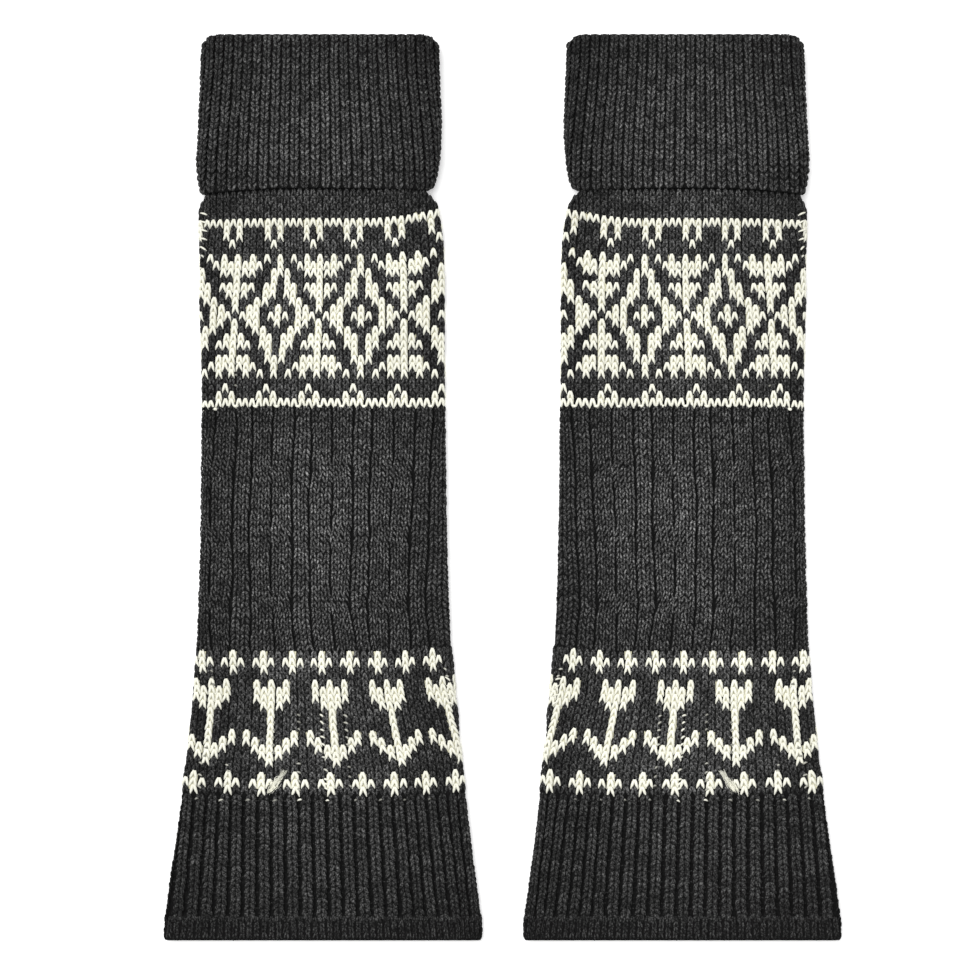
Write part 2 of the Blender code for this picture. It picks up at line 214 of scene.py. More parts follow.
def read(table: Table, key: float, column: int) -> float:
    """Read one column of a table between two of its rows.

    Args:
        table: Rows whose first column rises.
        key: Value to look up in the first column.
        column: Number of the column to read.

    Returns:
        The column's value at the key; past the table's ends it stays the same.
    """
    if key <= table[0][0]:
        return table[0][column]
    for low, high in zip(table, table[1:]):
        if key <= high[0]:
            share = (key - low[0]) / (high[0] - low[0])
            return low[column] + share * (high[column] - low[column])
    return table[-1][column]


def find(table: Table, value: float, share: float) -> float:
    """Find the number of a rib that passes through a place.

    Args:
        table: Rows of number, place at the top and place at the bottom.
        value: The place.
        share: How far down the zone the place is, from 0 to 1.

    Returns:
        The rib's number, whole at the middle of a rib.
    """
    places = [(row[1] + share * (row[2] - row[1]), row[0]) for row in table]
    return read(tuple(places), value, 1)


def go_on(spots: list[tuple[float, float]], key: float) -> float:
    """Read a line through spots that goes straight on past its ends.

    Args:
        spots: Keys that rise, each with its value.
        key: Key to read the line at.

    Returns:
        The line's value at the key.
    """
    for low, high in zip(spots, spots[1:]):
        if key < high[0] or high is spots[-1]:
            return low[1] + (key - low[0]) * (high[1] - low[1]) / (high[0] - low[0])
    return spots[-1][1]


def eased(value: float, start: float, end: float) -> float:
    """Rise smoothly from 0 at start to 1 at end."""
    share = min(max((value - start) / (end - start), 0.0), 1.0)
    return share * share * (3.0 - 2.0 * share)


def rounding(inset: float, radius: float) -> float:
    """Height of a quarter circle at a distance in from its start, from 0 to 1."""
    share = min(max(inset / radius, 0.0), 1.0)
    return sqrt(1.0 - (1.0 - share) ** 2)


def crease_height(creases: Table, x: float, up: float) -> float:
    """Add up the soft ridges and troughs at a place.

    Args:
        creases: Table of creases.
        x: Place across the warmer.
        up: Place up it.

    Returns:
        Height over the smooth cloth, below zero in a trough.
    """
    height = 0.0
    for x0, up0, x1, up1, reach, rise in creases:
        span = (x1 - x0) ** 2 + (up1 - up0) ** 2
        along = ((x - x0) * (x1 - x0) + (up - up0) * (up1 - up0)) / span
        fade = eased(along, -0.15, 0.25) * (1.0 - eased(along, 0.7, 1.15))
        if fade > 0.0:
            away = sqrt((x - x0 - along * (x1 - x0)) ** 2 + (up - up0 - along * (up1 - up0)) ** 2)
            height += rise * fade * exp(-((away / reach) ** 2))
    return height


def edge_bow(across: float, up: float) -> float:
    """Work out how far the cuff's free edge, and the leg under it, hang lower than their sections.

    Args:
        across: Share of the width, from the left.
        up: Place up the warmer.

    Returns:
        The distance.
    """
    if across < BOW_TOP_AT:
        bow = BOW_LEFT * (1.0 - across / BOW_TOP_AT) ** 2
    else:
        bow = BOW_RIGHT * ((across - BOW_TOP_AT) / (1.0 - BOW_TOP_AT)) ** 2
    if up < CUFF_EDGE:
        return bow * eased(up, RAMP_START, CUFF_EDGE)
    return bow * (1.0 - eased(up, CUFF_EDGE, CUFF_EDGE + BOW_REACH))


def let_down(across: float, width: float, up: float) -> float:
    """Work out how much lower than its section a point lies, at the cuff's edge and the fold's corners.

    Args:
        across: Share of the width, from the left.
        width: The width.
        up: Place up the warmer.

    Returns:
        The distance.
    """
    share = min(max(across, 0.0), 1.0)
    inset = min(share, 1.0 - share) * width
    corner = CORNER_DROP * (1.0 - rounding(inset, CORNER_WIDTH))
    corner *= eased(up, FOLD_AXIS - CORNER_REACH, FOLD_AXIS)
    return corner + edge_bow(share, up)


class Piece(Enum):
    """The kinds of knitted piece on a warmer."""

    CUFF = "cuff_knit"
    UPPER = "upper_band_knit"
    CABLES = "cable_knit"
    LOWER = "lower_band_knit"
    HEM = "hem_knit"
    EDGE = "hem_edge_knit"
    PURL = "hem_purl"
    FLOATS = "float_yarns"
    WISP = "wisp_of_fibres"


class Slot(Enum):
    """Names of the stitches' two yarn materials."""

    LEG = "leg_yarn"
    CUFF = "cuff_yarn"


@dataclass(frozen=True)
class Stitch:
    """One stitch to place: where, which way up, how big, and its colour."""

    place: Vector
    outward: Vector
    along: Vector
    wide: float
    tall: float
    high: float
    cream: float
    tone: float

    def is_seen(self) -> bool:
        """Whether the stitch is on the front or round a side, and not under the warmer."""
        return self.outward.z > STITCHED_TO


@dataclass(frozen=True)
class Section:
    """A flattened tube's section at one height: its sides and how they are rounded."""

    left: float
    right: float
    flat_inset: float
    side_reach: float
    side_arc: float
    middle: float
    above: float
    below: float

    def point(self, around: float) -> Triple:
        """Find a point of the section.

        Args:
            around: Place along the cloth from the centre line.

        Returns:
            X, Z, and the sine of the cloth's turn: 1 on the front, 0 at the side and -1 below.
        """
        sign = -1.0 if around < 0.5 * (self.left + self.right) else 1.0
        flat_end = (self.left if sign < 0 else self.right) - sign * self.flat_inset
        past = sign * (around - flat_end)
        if past <= 0.0:
            return around, self.middle + self.above, 1.0
        if past >= 2.0 * self.side_arc:
            return flat_end - sign * (past - 2.0 * self.side_arc), self.middle - self.below, -1.0
        turn = 0.5 * pi * (1.0 - past / self.side_arc)
        reach = self.above if turn > 0.0 else self.below
        return flat_end + sign * self.side_reach * cos(turn), self.middle + reach * sin(turn), sin(turn)

    def ring(self, front: int, side: int, back: int) -> list[float]:
        """List places all round the section, from the front's left end.

        Args:
            front: Number of places on the flat front.
            side: Number of places round each side.
            back: Number of places on the flat back.

        Returns:
            The places, as around values.
        """
        start, end = self.left + self.flat_inset, self.right - self.flat_inset
        flat = end - start
        steps = [2.0 * self.side_arc * (i + 1) / (side + 1) for i in range(side)]
        over = [start + flat * i / (front - 1) for i in range(front)]
        right = [end + step for step in steps]
        half = 0.5 * flat
        under = [flat * i / (back - 1) for i in range(back)]
        below = [end + 2.0 * self.side_arc + u if u <= half else start - 2.0 * self.side_arc - (flat - u)
                 for u in under]
        left = [start - 2.0 * self.side_arc + step for step in ([0.0] + steps)][1:]
        return over + right + below + left


@dataclass(frozen=True)
class LegForm:
    """Shape of the leg's tube."""

    rise: float = YARN_RISE
    radius: float = 3.0
    arc: float = 4.3

    def sides(self, up: float) -> tuple[float, float]:
        """Left and right side of the tube at a height."""
        return read(LEG_SIDES, up, 1), read(LEG_SIDES, up, 2)

    @staticmethod
    def light(across: float, up: float) -> float:
        """Painted light and shade on the yarn at a share of the width and a height, next to the cables'
        middle.
        """
        # painted shade: the hem darker, most towards its edge, and every height darker at the sides
        if up < HEM_TOP:
            return painted_side_shade(across, 0.7) * (0.38 + 0.18 * eased(up, 2.0, 45.0))
        return painted_side_shade(across, 0.44) * read(LEG_PAINTED_LIGHT, up, 1)

    def section(self, up: float, is_lining: bool = False) -> Section:
        """Work out the tube's section.

        Args:
            up: Place up the warmer.
            is_lining: Take the section of the tube's inside.

        Returns:
            The section.
        """
        left, right = self.sides(up)
        if is_lining:
            return Section(left, right, self.radius, 0.4, self.arc, LAYER - GAP / 2, GAP / 2, GAP / 2)
        wall = WALL * (0.72 + 0.28 * rounding(up, 1.5)) - self.rise
        middle = LAYER - GAP / 2
        reach = self.radius - 0.8 * self.rise
        return Section(left, right, self.radius, reach, self.arc, middle, GAP / 2 + wall, middle)

    def around_of(self, x: float, up: float) -> float:
        """Turn a place seen from above into one measured along the cloth.

        Args:
            x: Place across the warmer.
            up: Place up it.

        Returns:
            The around value.
        """
        left, right = self.sides(up)
        for side, sign in ((left, -1.0), (right, 1.0)):
            past = sign * (x - (side - sign * self.radius))
            if past > 0.0:
                turn = acos(min(past / self.radius, 1.0))
                return side - sign * self.radius + sign * self.arc * (1.0 - turn / (0.5 * pi))
        return x

    def relief(self, x: float, up: float) -> float:
        """Work out how far the front lies below its ridges, in the hem's ribs and in the cables.

        Args:
            x: Place across the warmer.
            up: Place up it.

        Returns:
            The depth.
        """
        if up <= HEM_TOP:
            share = 1.0 - up / HEM_TOP
            rib = find(HEM_RIBS, x, share)
            ridge = 0.5 + 0.5 * cos(2.0 * pi * rib)
            rise = eased(up, EDGE_BAND_TOP - 1.0, EDGE_BAND_TOP + 2.0)
            depth = (0.25 + 0.95 * rise) * (1.0 - 0.75 * eased(up, HEM_TOP - 3.0, HEM_TOP))
            return depth * (1.0 - ridge)
        if LOWER_BAND_TOP < up < CABLES_END:
            fade = 1.0 - eased(up, CABLES_END - 2.5, CABLES_END)
            return 1.2 * CABLES.notch(x, up) * eased(up, LOWER_BAND_TOP, LOWER_BAND_TOP + 2.5) * fade
        return 0.0

    def skin(self, around: float, up: float, is_smooth: bool = False) -> Vector:
        """Find a point on the tube's outside.

        Args:
            around: Place along the cloth from the centre line.
            up: Place up the warmer.
            is_smooth: Leave out ribs and cables.

        Returns:
            The point, in the left warmer's millimetres.
        """
        x, z, turn = self.section(up).point(around)
        left, right = self.sides(up)
        z += LAYER * eased(up, RAMP_START, RAMP_END)
        if turn > 0.0:
            swell = crease_height(LEG_CREASES, x, up) + 0.3 * noise.noise(Vector((x / 34.0, up / 47.0, 0.3)))
            z += turn * swell * eased(up, 0.0, 8.0) * (1.0 - eased(up, 325.0, 336.0))
            if not is_smooth:
                z -= turn * self.relief(x, up)
        across = (x - left) / (right - left)
        return Vector((x, up - let_down(across, right - left, up), z))

    def lining(self, around: float, up: float) -> Vector:
        """Find a point on the tube's inside.

        Args:
            around: Place along the cloth from the centre line.
            up: Place up the warmer.

        Returns:
            The point, in the left warmer's millimetres.
        """
        x, z, _ = self.section(up, True).point(around)
        left, right = self.sides(up)
        across = (x - left) / (right - left)
        z += LAYER * eased(up, RAMP_START, RAMP_END)
        return Vector((x, up - let_down(across, right - left, up), z))


@dataclass(frozen=True)
class CuffForm:
    """Shape of the turned-down cuff. "Along" is the distance from its free edge, up and over the fold."""

    rise: float = YARN_RISE
    arc: float = 8.0
    depth: float = 0.55
    side_depth: float = 0.65

    @staticmethod
    def sides(along: float) -> tuple[float, float]:
        """Left and right side of the cuff at a distance from its free edge."""
        up = min(CUFF_EDGE + along, FOLD_AXIS)
        return read(CUFF_SIDES, up, 1), read(CUFF_SIDES, up, 2)

    @staticmethod
    def light(across: float, along: float) -> float:
        """Painted shade on the yarn at a share of the width and a distance from the free edge, most over the
        fold.
        """
        # painted shade: a little darker at the free edge, much darker up over the fold, and darker at the
        # sides
        level = 0.87 + 0.07 * eased(along, -2.0, 16.0) - 0.3 * eased(along, 30.0, 66.0)
        return painted_side_shade(0.06 + 0.94 * across, 0.42) * level

    @staticmethod
    def rib_pitch(up: float) -> float:
        """Distance from one rib to the next, which grows towards the free edge."""
        return 4.26 + 0.42 * (1.0 - eased(up, CUFF_EDGE, LENGTH))

    def rib_place(self, number: float, up: float) -> float:
        """Where a rib's middle lies, as an around value."""
        return -RIB_SHIFT + (number - 10.5) * self.rib_pitch(up)

    def section(self, along: float, offset: float) -> Section:
        """Work out the cuff's section.

        Args:
            along: Distance from the free edge.
            offset: Distance outwards from the line that the cuff is folded about.

        Returns:
            The section.
        """
        up = min(CUFF_EDGE + along, FOLD_AXIS)
        skin = read(CUFF_SIDES, up, 3)
        left, right = read(CUFF_SIDES, up, 1) + skin, read(CUFF_SIDES, up, 2) - skin
        facing = cos(self.turn(along))
        reach = FOLD_RADIUS + offset * facing * (INNER_LIP if facing < 0.0 else 1.0)
        height = GAP / 2 + reach
        return Section(left, right, FOLD_RADIUS, reach, self.arc, HALF_STACK, height, height)

    @staticmethod
    def turn(along: float) -> float:
        """How far over the fold a place is, from 0 to half a turn."""
        return min(max((along - CUFF_DROP) / FOLD_RADIUS, 0.0), pi)

    def surface(self, around: float, along: float, offset: float) -> Vector:
        """Find a point of the cuff at an offset from the line that it is folded about.

        Args:
            around: Place along the cloth from the centre line.
            along: Distance from the free edge.
            offset: Distance outwards from the fold line.

        Returns:
            The point, in the left warmer's millimetres.
        """
        up = min(CUFF_EDGE + along, FOLD_AXIS)
        section = self.section(along, offset)
        x, z, _ = section.point(around)
        left, right = section.left, section.right
        drop = let_down((x - left) / (right - left), right - left, up)
        inside = max(0.0, along - CUFF_DROP - FOLD_ARC)
        return Vector((x, up - drop + offset * sin(self.turn(along)) - inside, z))

    def skin(self, around: float, along: float, is_smooth: bool = False) -> Vector:
        """Find a point on the cuff's outside.

        Args:
            around: Place along the cloth from the centre line.
            along: Distance from the free edge.
            is_smooth: Leave out the ribs.

        Returns:
            The point, in the left warmer's millimetres.
        """
        up = min(CUFF_EDGE + along, FOLD_AXIS)
        outer = read(CUFF_SIDES, up, 3)
        x, _, side = self.section(along, outer).point(around)
        front = eased(side, -0.7, 0.35)
        over = 0.5 * (1.0 + cos(self.turn(along)))
        offset = outer - self.rise * front * (0.4 * eased(over, 0.15, 0.5) + 0.6 * eased(over, 0.5, 0.9))
        if not is_smooth:
            number = (around + RIB_SHIFT) / self.rib_pitch(up)
            ridge = 0.5 - 0.5 * cos(2.0 * pi * number)
            depth = self.depth + self.side_depth * eased(abs(x + 2.0), 28.0, 46.0)
            offset -= depth * (1.0 - ridge) ** 2 * front * over * eased(along, 0.5, 6.0)
        offset += front * over * crease_height(CUFF_CREASES, x, up)
        return self.surface(around, along, offset)


@dataclass(frozen=True)
class Cables:
    """The cable section: ribs between narrow grooves, in pairs whose strands cross at three heights."""

    half: float = 5.0
    groove: float = 0.62
    bend: float = 0.8
    gap: float = 0.42         # from a groove's middle to the stitches beside it
    closing: float = 0.58     # how much nearer they come where strands cross
    pair_reach: float = 9.3   # half the width of a pair of ribs

    def groove_place(self, index: int, up: float) -> float:
        """Find where a groove lies at a height.

        Args:
            index: Number of the groove, from the left.
            up: Place up the warmer.

        Returns:
            The place, as an around value.
        """
        row = GROOVES[index][1:]
        table = tuple(zip(GROOVE_HEIGHTS, row))
        wander = 0.3 * sin(up / 9.0 + 1.7 * index) + 0.5 * noise.noise(Vector((3.1 * index, up / 6.0, 0.0)))
        return read(table, up, 1) + wander

    def crossing(self, up: float) -> float:
        """How deep in a crossing a height is, from 1 at its middle to 0."""
        nearest = min(abs(up - middle) for middle in CROSSINGS)
        return 1.0 - eased(nearest, 0.35 * self.half, self.half)

    @staticmethod
    def is_outer(index: int) -> bool:
        """Whether a groove is the one to the right of a pair of strands."""
        return index > 0 and GROOVES[index - 1][0]

    @staticmethod
    def is_inner(index: int) -> bool:
        """Whether a groove lies between the two strands of a pair."""
        return 0 <= index < len(GROOVES) and GROOVES[index][0]

    def stitched(self, rib: int, up: float) -> tuple[float, float]:
        """Find the ends of a rib's stitches at a height.

        Args:
            rib: Number of the rib, from the left.
            up: Place up the warmer.

        Returns:
            The left and the right end, as around values.
        """
        crossing = self.crossing(up)
        left = self.groove_place(rib - 1, up) if rib > 0 else LEG.sides(up)[0] - 4.0
        right = self.groove_place(rib, up) if rib < len(GROOVES) else LEG.sides(up)[1] + 4.0
        if self.is_outer(rib):
            right -= self.bend * crossing
        gaps = [self.gap - (self.closing * crossing if self.is_inner(groove) else 0.0)
                for groove in (rib - 1, rib)]
        return left + gaps[0], right - gaps[1]

    def notch(self, x: float, up: float) -> float:
        """Work out how deeply the grooves cut into the front.

        Args:
            x: Place across the warmer.
            up: Place up it.

        Returns:
            The depth, from 0 to 1.
        """
        cut, crossing = 0.0, self.crossing(up)
        for index, row in enumerate(GROOVES):
            away = x - self.groove_place(index, up)
            depth = 0.84 + 0.45 * noise.noise(Vector((7.7 * index, up / 9.0, 4.0)))
            wide = self.groove
            if row[0]:
                depth *= 1.0 - 0.9 * crossing
            elif self.is_outer(index):
                wide += 0.14 * crossing
                away += 0.5 * crossing
            cut = max(cut, depth * exp(-((away / wide) ** 2)))
        return cut

    def lean(self, share: float, up: float) -> tuple[float, float]:
        """How a stitch leans and sinks where strands cross.

        Args:
            share: Place across the pair of ribs, from -1 to 1 with 0 at the groove between them.
            up: Place up the warmer.

        Returns:
            Lean in radians, to the left at the top if above zero, and how far the stitch sinks.
        """
        height = min((up - middle for middle in CROSSINGS), key=abs) / self.half
        if abs(height) >= 1.0:
            return 0.0, 0.0
        depth = 1.0 - height * height
        edge = exp(-(((height - share) / 0.35) ** 2))
        return 0.34 * depth * (1.0 - 0.6 * abs(share)), 0.3 * depth * edge - 0.15 * depth


CABLES = Cables()
LEG = LegForm()
CUFF = CuffForm()


def chart_row(rows: tuple[str, ...], row: int, distance: int) -> bool:
    """Whether a chart has a cream stitch in a row, at a distance from its motif's middle."""
    return distance < len(rows[row]) and rows[row][distance] == "#"


def fold_distance(wale: int, middle: int, period: int) -> int:
    """Distance from a wale to the nearest of the middles that repeat with a period."""
    away = (wale - middle) % period
    return min(away, period - away)


def upper_chart(row: int, wale: int) -> bool:
    """Tell whether a stitch of the upper band is cream.

    Args:
        row: Number of the row, with 0 at the top.
        wale: Number of the wale.

    Returns:
        True for cream.
    """
    inner = row - len(SMALL_TOP)
    below = inner - 2 * len(DIAMONDS) + 1
    if row < 0 or below >= len(SMALL_BOTTOM):
        return False
    if inner < 0:
        return chart_row(SMALL_TOP, row, fold_distance(wale, -1, 6))
    if below >= 0:
        return chart_row(SMALL_BOTTOM, below, fold_distance(wale, -1, 6))
    return chart_row(DIAMONDS, min(inner, 2 * len(DIAMONDS) - 2 - inner), fold_distance(wale, 0, 12))


def lower_chart(row: int, wale: int) -> bool:
    """Tell whether a stitch of the lower band is cream.

    Args:
        row: Number of the row, with 0 at the top.
        wale: Number of the wale.

    Returns:
        True for cream.
    """
    if row < 0 or row > 19 or (row < 3 and wale > 35):
        return False
    if row < 3 or row >= 17:
        return chart_row(CROSS, row if row < 3 else row - 17, fold_distance(wale, 2, 4))
    if 4 <= row < 16:
        return chart_row(TULIP, row - 4, fold_distance(wale, 3, 8))
    return False


@dataclass(frozen=True)
class Band:
    """A smooth patterned band: rows of wales, which gather in threes with wider gaps between."""

    top: float
    rows: int
    pitch: float
    anchors: tuple[int, ...]
    wales: Table
    chart: Callable[[int, int], bool]
    lift: Callable[[float, float], float]
    middle_wale: int
    above: int = 0
    gather: float = 0.17

    def place(self, wale: float, up: float) -> float:
        """Where a wale lies at a height, as an around value."""
        spots = [(anchor, read(self.wales, up, i + 1)) for i, anchor in enumerate(self.anchors)]
        return go_on(spots, wale)

    def number(self, around: float, up: float) -> float:
        """Which wale a place is in, whole at its middle."""
        spots = [(read(self.wales, up, i + 1), anchor) for i, anchor in enumerate(self.anchors)]
        return go_on(spots, around)

    def gathered(self, wale: int, up: float) -> float:
        """How far a wale is drawn to the middle one of its three at a height."""
        three = (wale - self.middle_wale + 1) // 3
        pull = 0.85 + 1.6 * noise.noise(Vector((5.3 * three, up / 12.0, 6.0)))
        return -self.gather * pull * ((wale - self.middle_wale + 1) % 3 - 1)

    def is_gap(self, number: float) -> bool:
        """Whether a place lies in the gap between two threes of wales."""
        return abs((number - self.middle_wale) % 3.0 - 1.5) < 0.13

    def row_of(self, around: float, up: float) -> int:
        """Which row a place is in, counted down from 0. On the back the rows run level again."""
        lift = self.lift(min(max(around, -LEVEL_START), LEVEL_START), up)
        lift *= 1.0 - eased(abs(around), LEVEL_START, LEVEL_END)
        return floor((self.top - up + lift) / self.pitch)

    def stitches(self, rng: random.Random) -> list[Stitch]:
        """Lay out the band's stitches on the leg.

        Args:
            rng: Source of the random draws.

        Returns:
            The stitches that are seen.
        """
        made = []
        for row in range(-self.above, self.rows):
            level = self.top - (row + 0.5) * self.pitch
            for wale in range(-3, 44):
                around = self.place(wale, level)
                up = level + self.lift(around, level)
                left, right = LEG.sides(up)
                if not left - STITCH_REACH < around < right + STITCH_REACH:
                    continue
                width = 0.97 * abs(self.place(wale + 0.5, up) - self.place(wale - 0.5, up))
                cream = 1.0 if self.chart(row, wale) else 0.0
                size = (width, self.pitch, CREAM_HEIGHT if cream else STITCH_HEIGHT)
                aside = self.gathered(wale, up) * (0.25 + 0.75 * cream)
                lean = (self.place(wale, up - 1.0) - self.place(wale, up + 1.0)) / 2.0
                made.append(stitch_on(LEG, around + aside, up, size, cream, rng.random(), lean))
        return seen(made)


def seen(stitches: list[Stitch]) -> list[Stitch]:
    """Leave out the stitches that would be under the warmer."""
    return [stitch for stitch in stitches if stitch.is_seen()]


def painted_side_shade(across: float, least: float) -> float:
    """Painted shade at a share of the width: the yarn is painted darker where the cloth turns down at the
    sides.
    """
    return least + (1.0 - least) * (1.0 - min(abs(2.0 * across - 1.0), 1.0) ** 1.6)


def darkened(tone: float, light: float) -> float:
    """A yarn's tone with painted light and shade: a lightness under 1 darkens it, over 1 lightens it."""
    return 0.5 + ((1.0 + (tone - 0.5) * TONE_SPREAD) * light - 1.0) / TONE_SPREAD


def stitch_on(form: LegForm | CuffForm, around: float, along: float, size: Triple, cream: float, tone: float,
              lean: float = 0.0, sink: float = 0.0, is_down: bool = False) -> Stitch:
    """Set a stitch on a form.

    Args:
        form: The leg's form or the cuff's.
        around: Place along the cloth from the centre line.
        along: Place up the form.
        size: Width of a wale, height of a row and height of the stitch.
        cream: 1 for cream yarn, 0 for charcoal.
        tone: Lightness of the yarn, from 0 to 1 with 0.5 as it is.
        lean: Angle in radians, to the left at the top if above zero.
        sink: How much lower than the cloth's surface the stitch sits.
        is_down: Turn the stitch so that its point is below.

    Returns:
        The stitch, in the left warmer's millimetres.
    """
    step = 0.5
    place = form.skin(around, along)
    left, right = form.sides(along)
    # painted light and shade go into the tone, by the stitch's place on the form
    tone = darkened(tone, form.light((place.x - left) / (right - left), along))
    over = form.skin(around + step, along, True) - form.skin(around - step, along, True)
    upward = form.skin(around, along + step, True) - form.skin(around, along - step, True)
    over.normalize()
    upward.normalize()
    outward = over.cross(upward).normalized()
    direction = (upward * cos(lean) - over * sin(lean)).normalized()
    if is_down:
        direction = -direction
    sink += 0.55 * (1.0 - max(outward.z, 0.0)) * (1.0 - 0.5 * cream)
    return Stitch(place - outward * sink, outward, direction, *size, cream, tone)


def upper_lift(around: float, up: float) -> float:
    """How much higher the upper band's rows lie than at its middle: up at the right, down at the left."""
    rise = 4.5 * max((around - 21.5) / 30.0, 0.0) ** 1.5 * min(max((up - 262.0) / 61.0, 0.0), 1.2) ** 1.5
    return rise - 1.3 * eased(-around, 44.0, 52.0) * (1.0 - eased(up, 243.0, 252.0))


def lower_lift(around: float, up: float) -> float:
    """How much higher the lower band's rows lie than at its middle: they rise at both sides."""
    left = 1.7 * max((-27.0 - around) / 30.0, 0.0) * (1.0 - 0.6 * eased(up, 70.0, 125.0))
    low = 0.8 * (1.0 - eased(up, 74.0, 86.0)) * (1.0 - eased(abs(around), 38.0, 56.0))
    return left + low + 1.6 * max((around - 32.0) / 22.0, 0.0) ** 1.3


UPPER = Band(UPPER_BAND_TOP, 26, 3.227, UPPER_ANCHORS, UPPER_WALES, upper_chart, upper_lift, 2, above=4)
LOWER = Band(LOWER_BAND_TOP, 20, 3.24, LOWER_ANCHORS, LOWER_WALES, lower_chart, lower_lift, 1)

def hem_place(number: float, up: float) -> float:
    """Where a rib of the hem lies at a height, as an around value."""
    share = 1.0 - max(up, 0.0) / HEM_TOP
    return read(HEM_RIBS, number, 1) * (1.0 - share) + read(HEM_RIBS, number, 2) * share


def hem_up(around: float, up: float) -> float:
    """Height of a row of the hem, which follows the band's rows above it."""
    return up + (0.2 + 0.5 * lower_lift(around, HEM_TOP)) * eased(up, 25.0, HEM_TOP)


def hem_wales(up: float, numbers: Iterable[float], reach: float = STITCH_REACH,
              wander: float = 0.0) -> Iterator[tuple[float, float]]:
    """List the hem's wales that lie on the front or round a side at a height.

    Args:
        up: Height up the warmer.
        numbers: Numbers of the ribs, with a half between two.
        reach: How far round a side the wales go.
        wander: How far a wale strays from its line.

    Yields:
        A rib's number and its place, as an around value.
    """
    left, right = LEG.sides(up)
    for number in numbers:
        stray = wander * noise.noise(Vector((2.3 * number, up / 7.0, 9.0)))
        around = LEG.around_of(hem_place(number, up), up) + stray
        if left - reach < around < right + reach:
            yield number, around


def side_share(around: float, left: float, right: float) -> float:
    """How near a place is to a side or past it, from 0 at 3 mm in to 1 on it."""
    return eased(max(left + 3.0 - around, around - right + 3.0), 0.0, 3.0)


@dataclass
class Layout:
    """Lays out a warmer's stitches, a method for each piece. The draws run in the order of the calls."""

    rng: random.Random

    def cables(self) -> list[Stitch]:
        """Lay out the cable section's stitches.

        Returns:
            The stitches that are seen.
        """
        made = []
        for row in range(round((CABLES_END - LOWER_BAND_TOP) / CABLE_PITCH)):
            up = CABLES_END - (row + 0.5) * CABLE_PITCH
            for rib, count in enumerate(WALES_IN_RIB):
                left, right = CABLES.stitched(rib, up)
                width = (right - left) / count
                for wale in range(count):
                    around = left + (wale + 0.5) * width
                    lean, sink = 0.0, 0.0
                    inner = next((groove for groove in (rib, rib - 1) if CABLES.is_inner(groove)), None)
                    if inner is not None:
                        aside = (around - CABLES.groove_place(inner, up)) / CABLES.pair_reach
                        lean, sink = CABLES.lean(min(max(aside, -1.0), 1.0), up)
                    crown = 0.3 * (1.0 - abs(2.0 * (wale + 0.5) / count - 1.0))
                    height = up + self.rng.uniform(-0.25, 0.25)
                    size = (width * 1.04, CABLE_PITCH, STITCH_HEIGHT)
                    tone = self.rng.random()
                    made.append(stitch_on(LEG, around, height, size, 0.0, tone, lean, sink - crown))
        return seen(made)

    def hem(self) -> list[Stitch]:
        """Lay out the knit wales of the hem's ribs.

        Returns:
            The stitches that are seen.
        """
        made = []
        for row in range(HEM_ROWS + 1):
            up = HEM_TOP - (row + 0.5) * RIB_PITCH
            end = 1.0 - eased(up, EDGE_BAND_TOP, EDGE_BAND_TOP + 6.0)
            for number, around in hem_wales(up, range(-1, 25), wander=0.35):
                wide = 0.95 * abs(hem_place(number + 0.5, up) - hem_place(number - 0.5, up))
                lean = (hem_place(number, up - 1.0) - hem_place(number, up + 1.0)) / 2.0
                lean += 0.5 * end * (0.4 if number % 3 else -0.6)
                size = (wide, RIB_PITCH, STITCH_HEIGHT)
                made.append(stitch_on(LEG, around, hem_up(around, up), size, 0.0, self.rng.random(), lean))
        return seen(made)

    def edge(self) -> list[Stitch]:
        """Lay out the fine wales of the hem's firm edge.

        Returns:
            The stitches that are seen.
        """
        made = []
        for row in range(4):
            up = EDGE_BAND_TOP - (row + 0.5) * EDGE_PITCH
            for number, around in hem_wales(up, (0.5 * half for half in range(-2, 50))):
                wide = 0.94 * abs(hem_place(number + 0.25, up) - hem_place(number - 0.25, up))
                tone, rise = 0.7 * self.rng.random(), 0.4 * side_share(around, *LEG.sides(up))
                made.append(stitch_on(LEG, around, up, (wide, EDGE_PITCH, 1.7), 0.0, tone, 0.0, -rise))
        return seen(made)

    def purl(self) -> list[Stitch]:
        """Lay out the small bumps in the recesses between the hem's ribs.

        Returns:
            The bumps.
        """
        made = []
        for row in range(HEM_ROWS):
            up = HEM_TOP - (row + 0.95) * RIB_PITCH
            for _, around in hem_wales(up, (number + 0.5 for number in range(-1, 24)), reach=2.0):
                # painted shade: the bumps in the recesses get a darker tone
                tone = 0.7 * self.rng.random() - 0.5
                made.append(stitch_on(LEG, around, hem_up(around, up), (1.8, 1.5, 1.1), 0.0, tone, 0.0, 0.3))
        return made

    def cuff(self) -> list[Stitch]:
        """Lay out the V-shaped stitches of the cuff's ribs, from its free edge over the fold.

        Returns:
            The stitches that are seen.
        """
        made = []
        for row in range(int((CUFF_DROP + 0.62 * FOLD_ARC) / RIB_PITCH) + 1):
            along = (row + 0.6) * RIB_PITCH
            up = min(CUFF_EDGE + along, FOLD_AXIS)
            left, right = CUFF.sides(along)
            bent = eased(CUFF.turn(along), 0.0, 0.7)
            for number in range(-2, 25):
                wander = 0.22 * noise.noise(Vector((2.9 * number, along / 8.0, 2.0)))
                around = CUFF.rib_place(number, up) + wander
                if not left - 4.0 < around < right + 4.0:
                    continue
                lean = (CUFF.rib_place(number, up - 1.0) - CUFF.rib_place(number, up + 1.0)) / 2.0
                wide, tall = 0.99 * CUFF.rib_pitch(up), RIB_PITCH * (1.0 - 0.25 * bent)
                size = (wide, tall, STITCH_HEIGHT - 0.9 * bent)
                height = along + self.rng.uniform(-0.2, 0.2)
                sink = 0.1 * bent - 0.35 * side_share(around, left, right)
                tone = self.rng.random()
                made.append(stitch_on(CUFF, around, height, size, 0.0, tone, lean, sink, is_down=True))
        return [stitch for stitch in made if stitch.is_seen() or stitch.place.y > FOLD_AXIS]

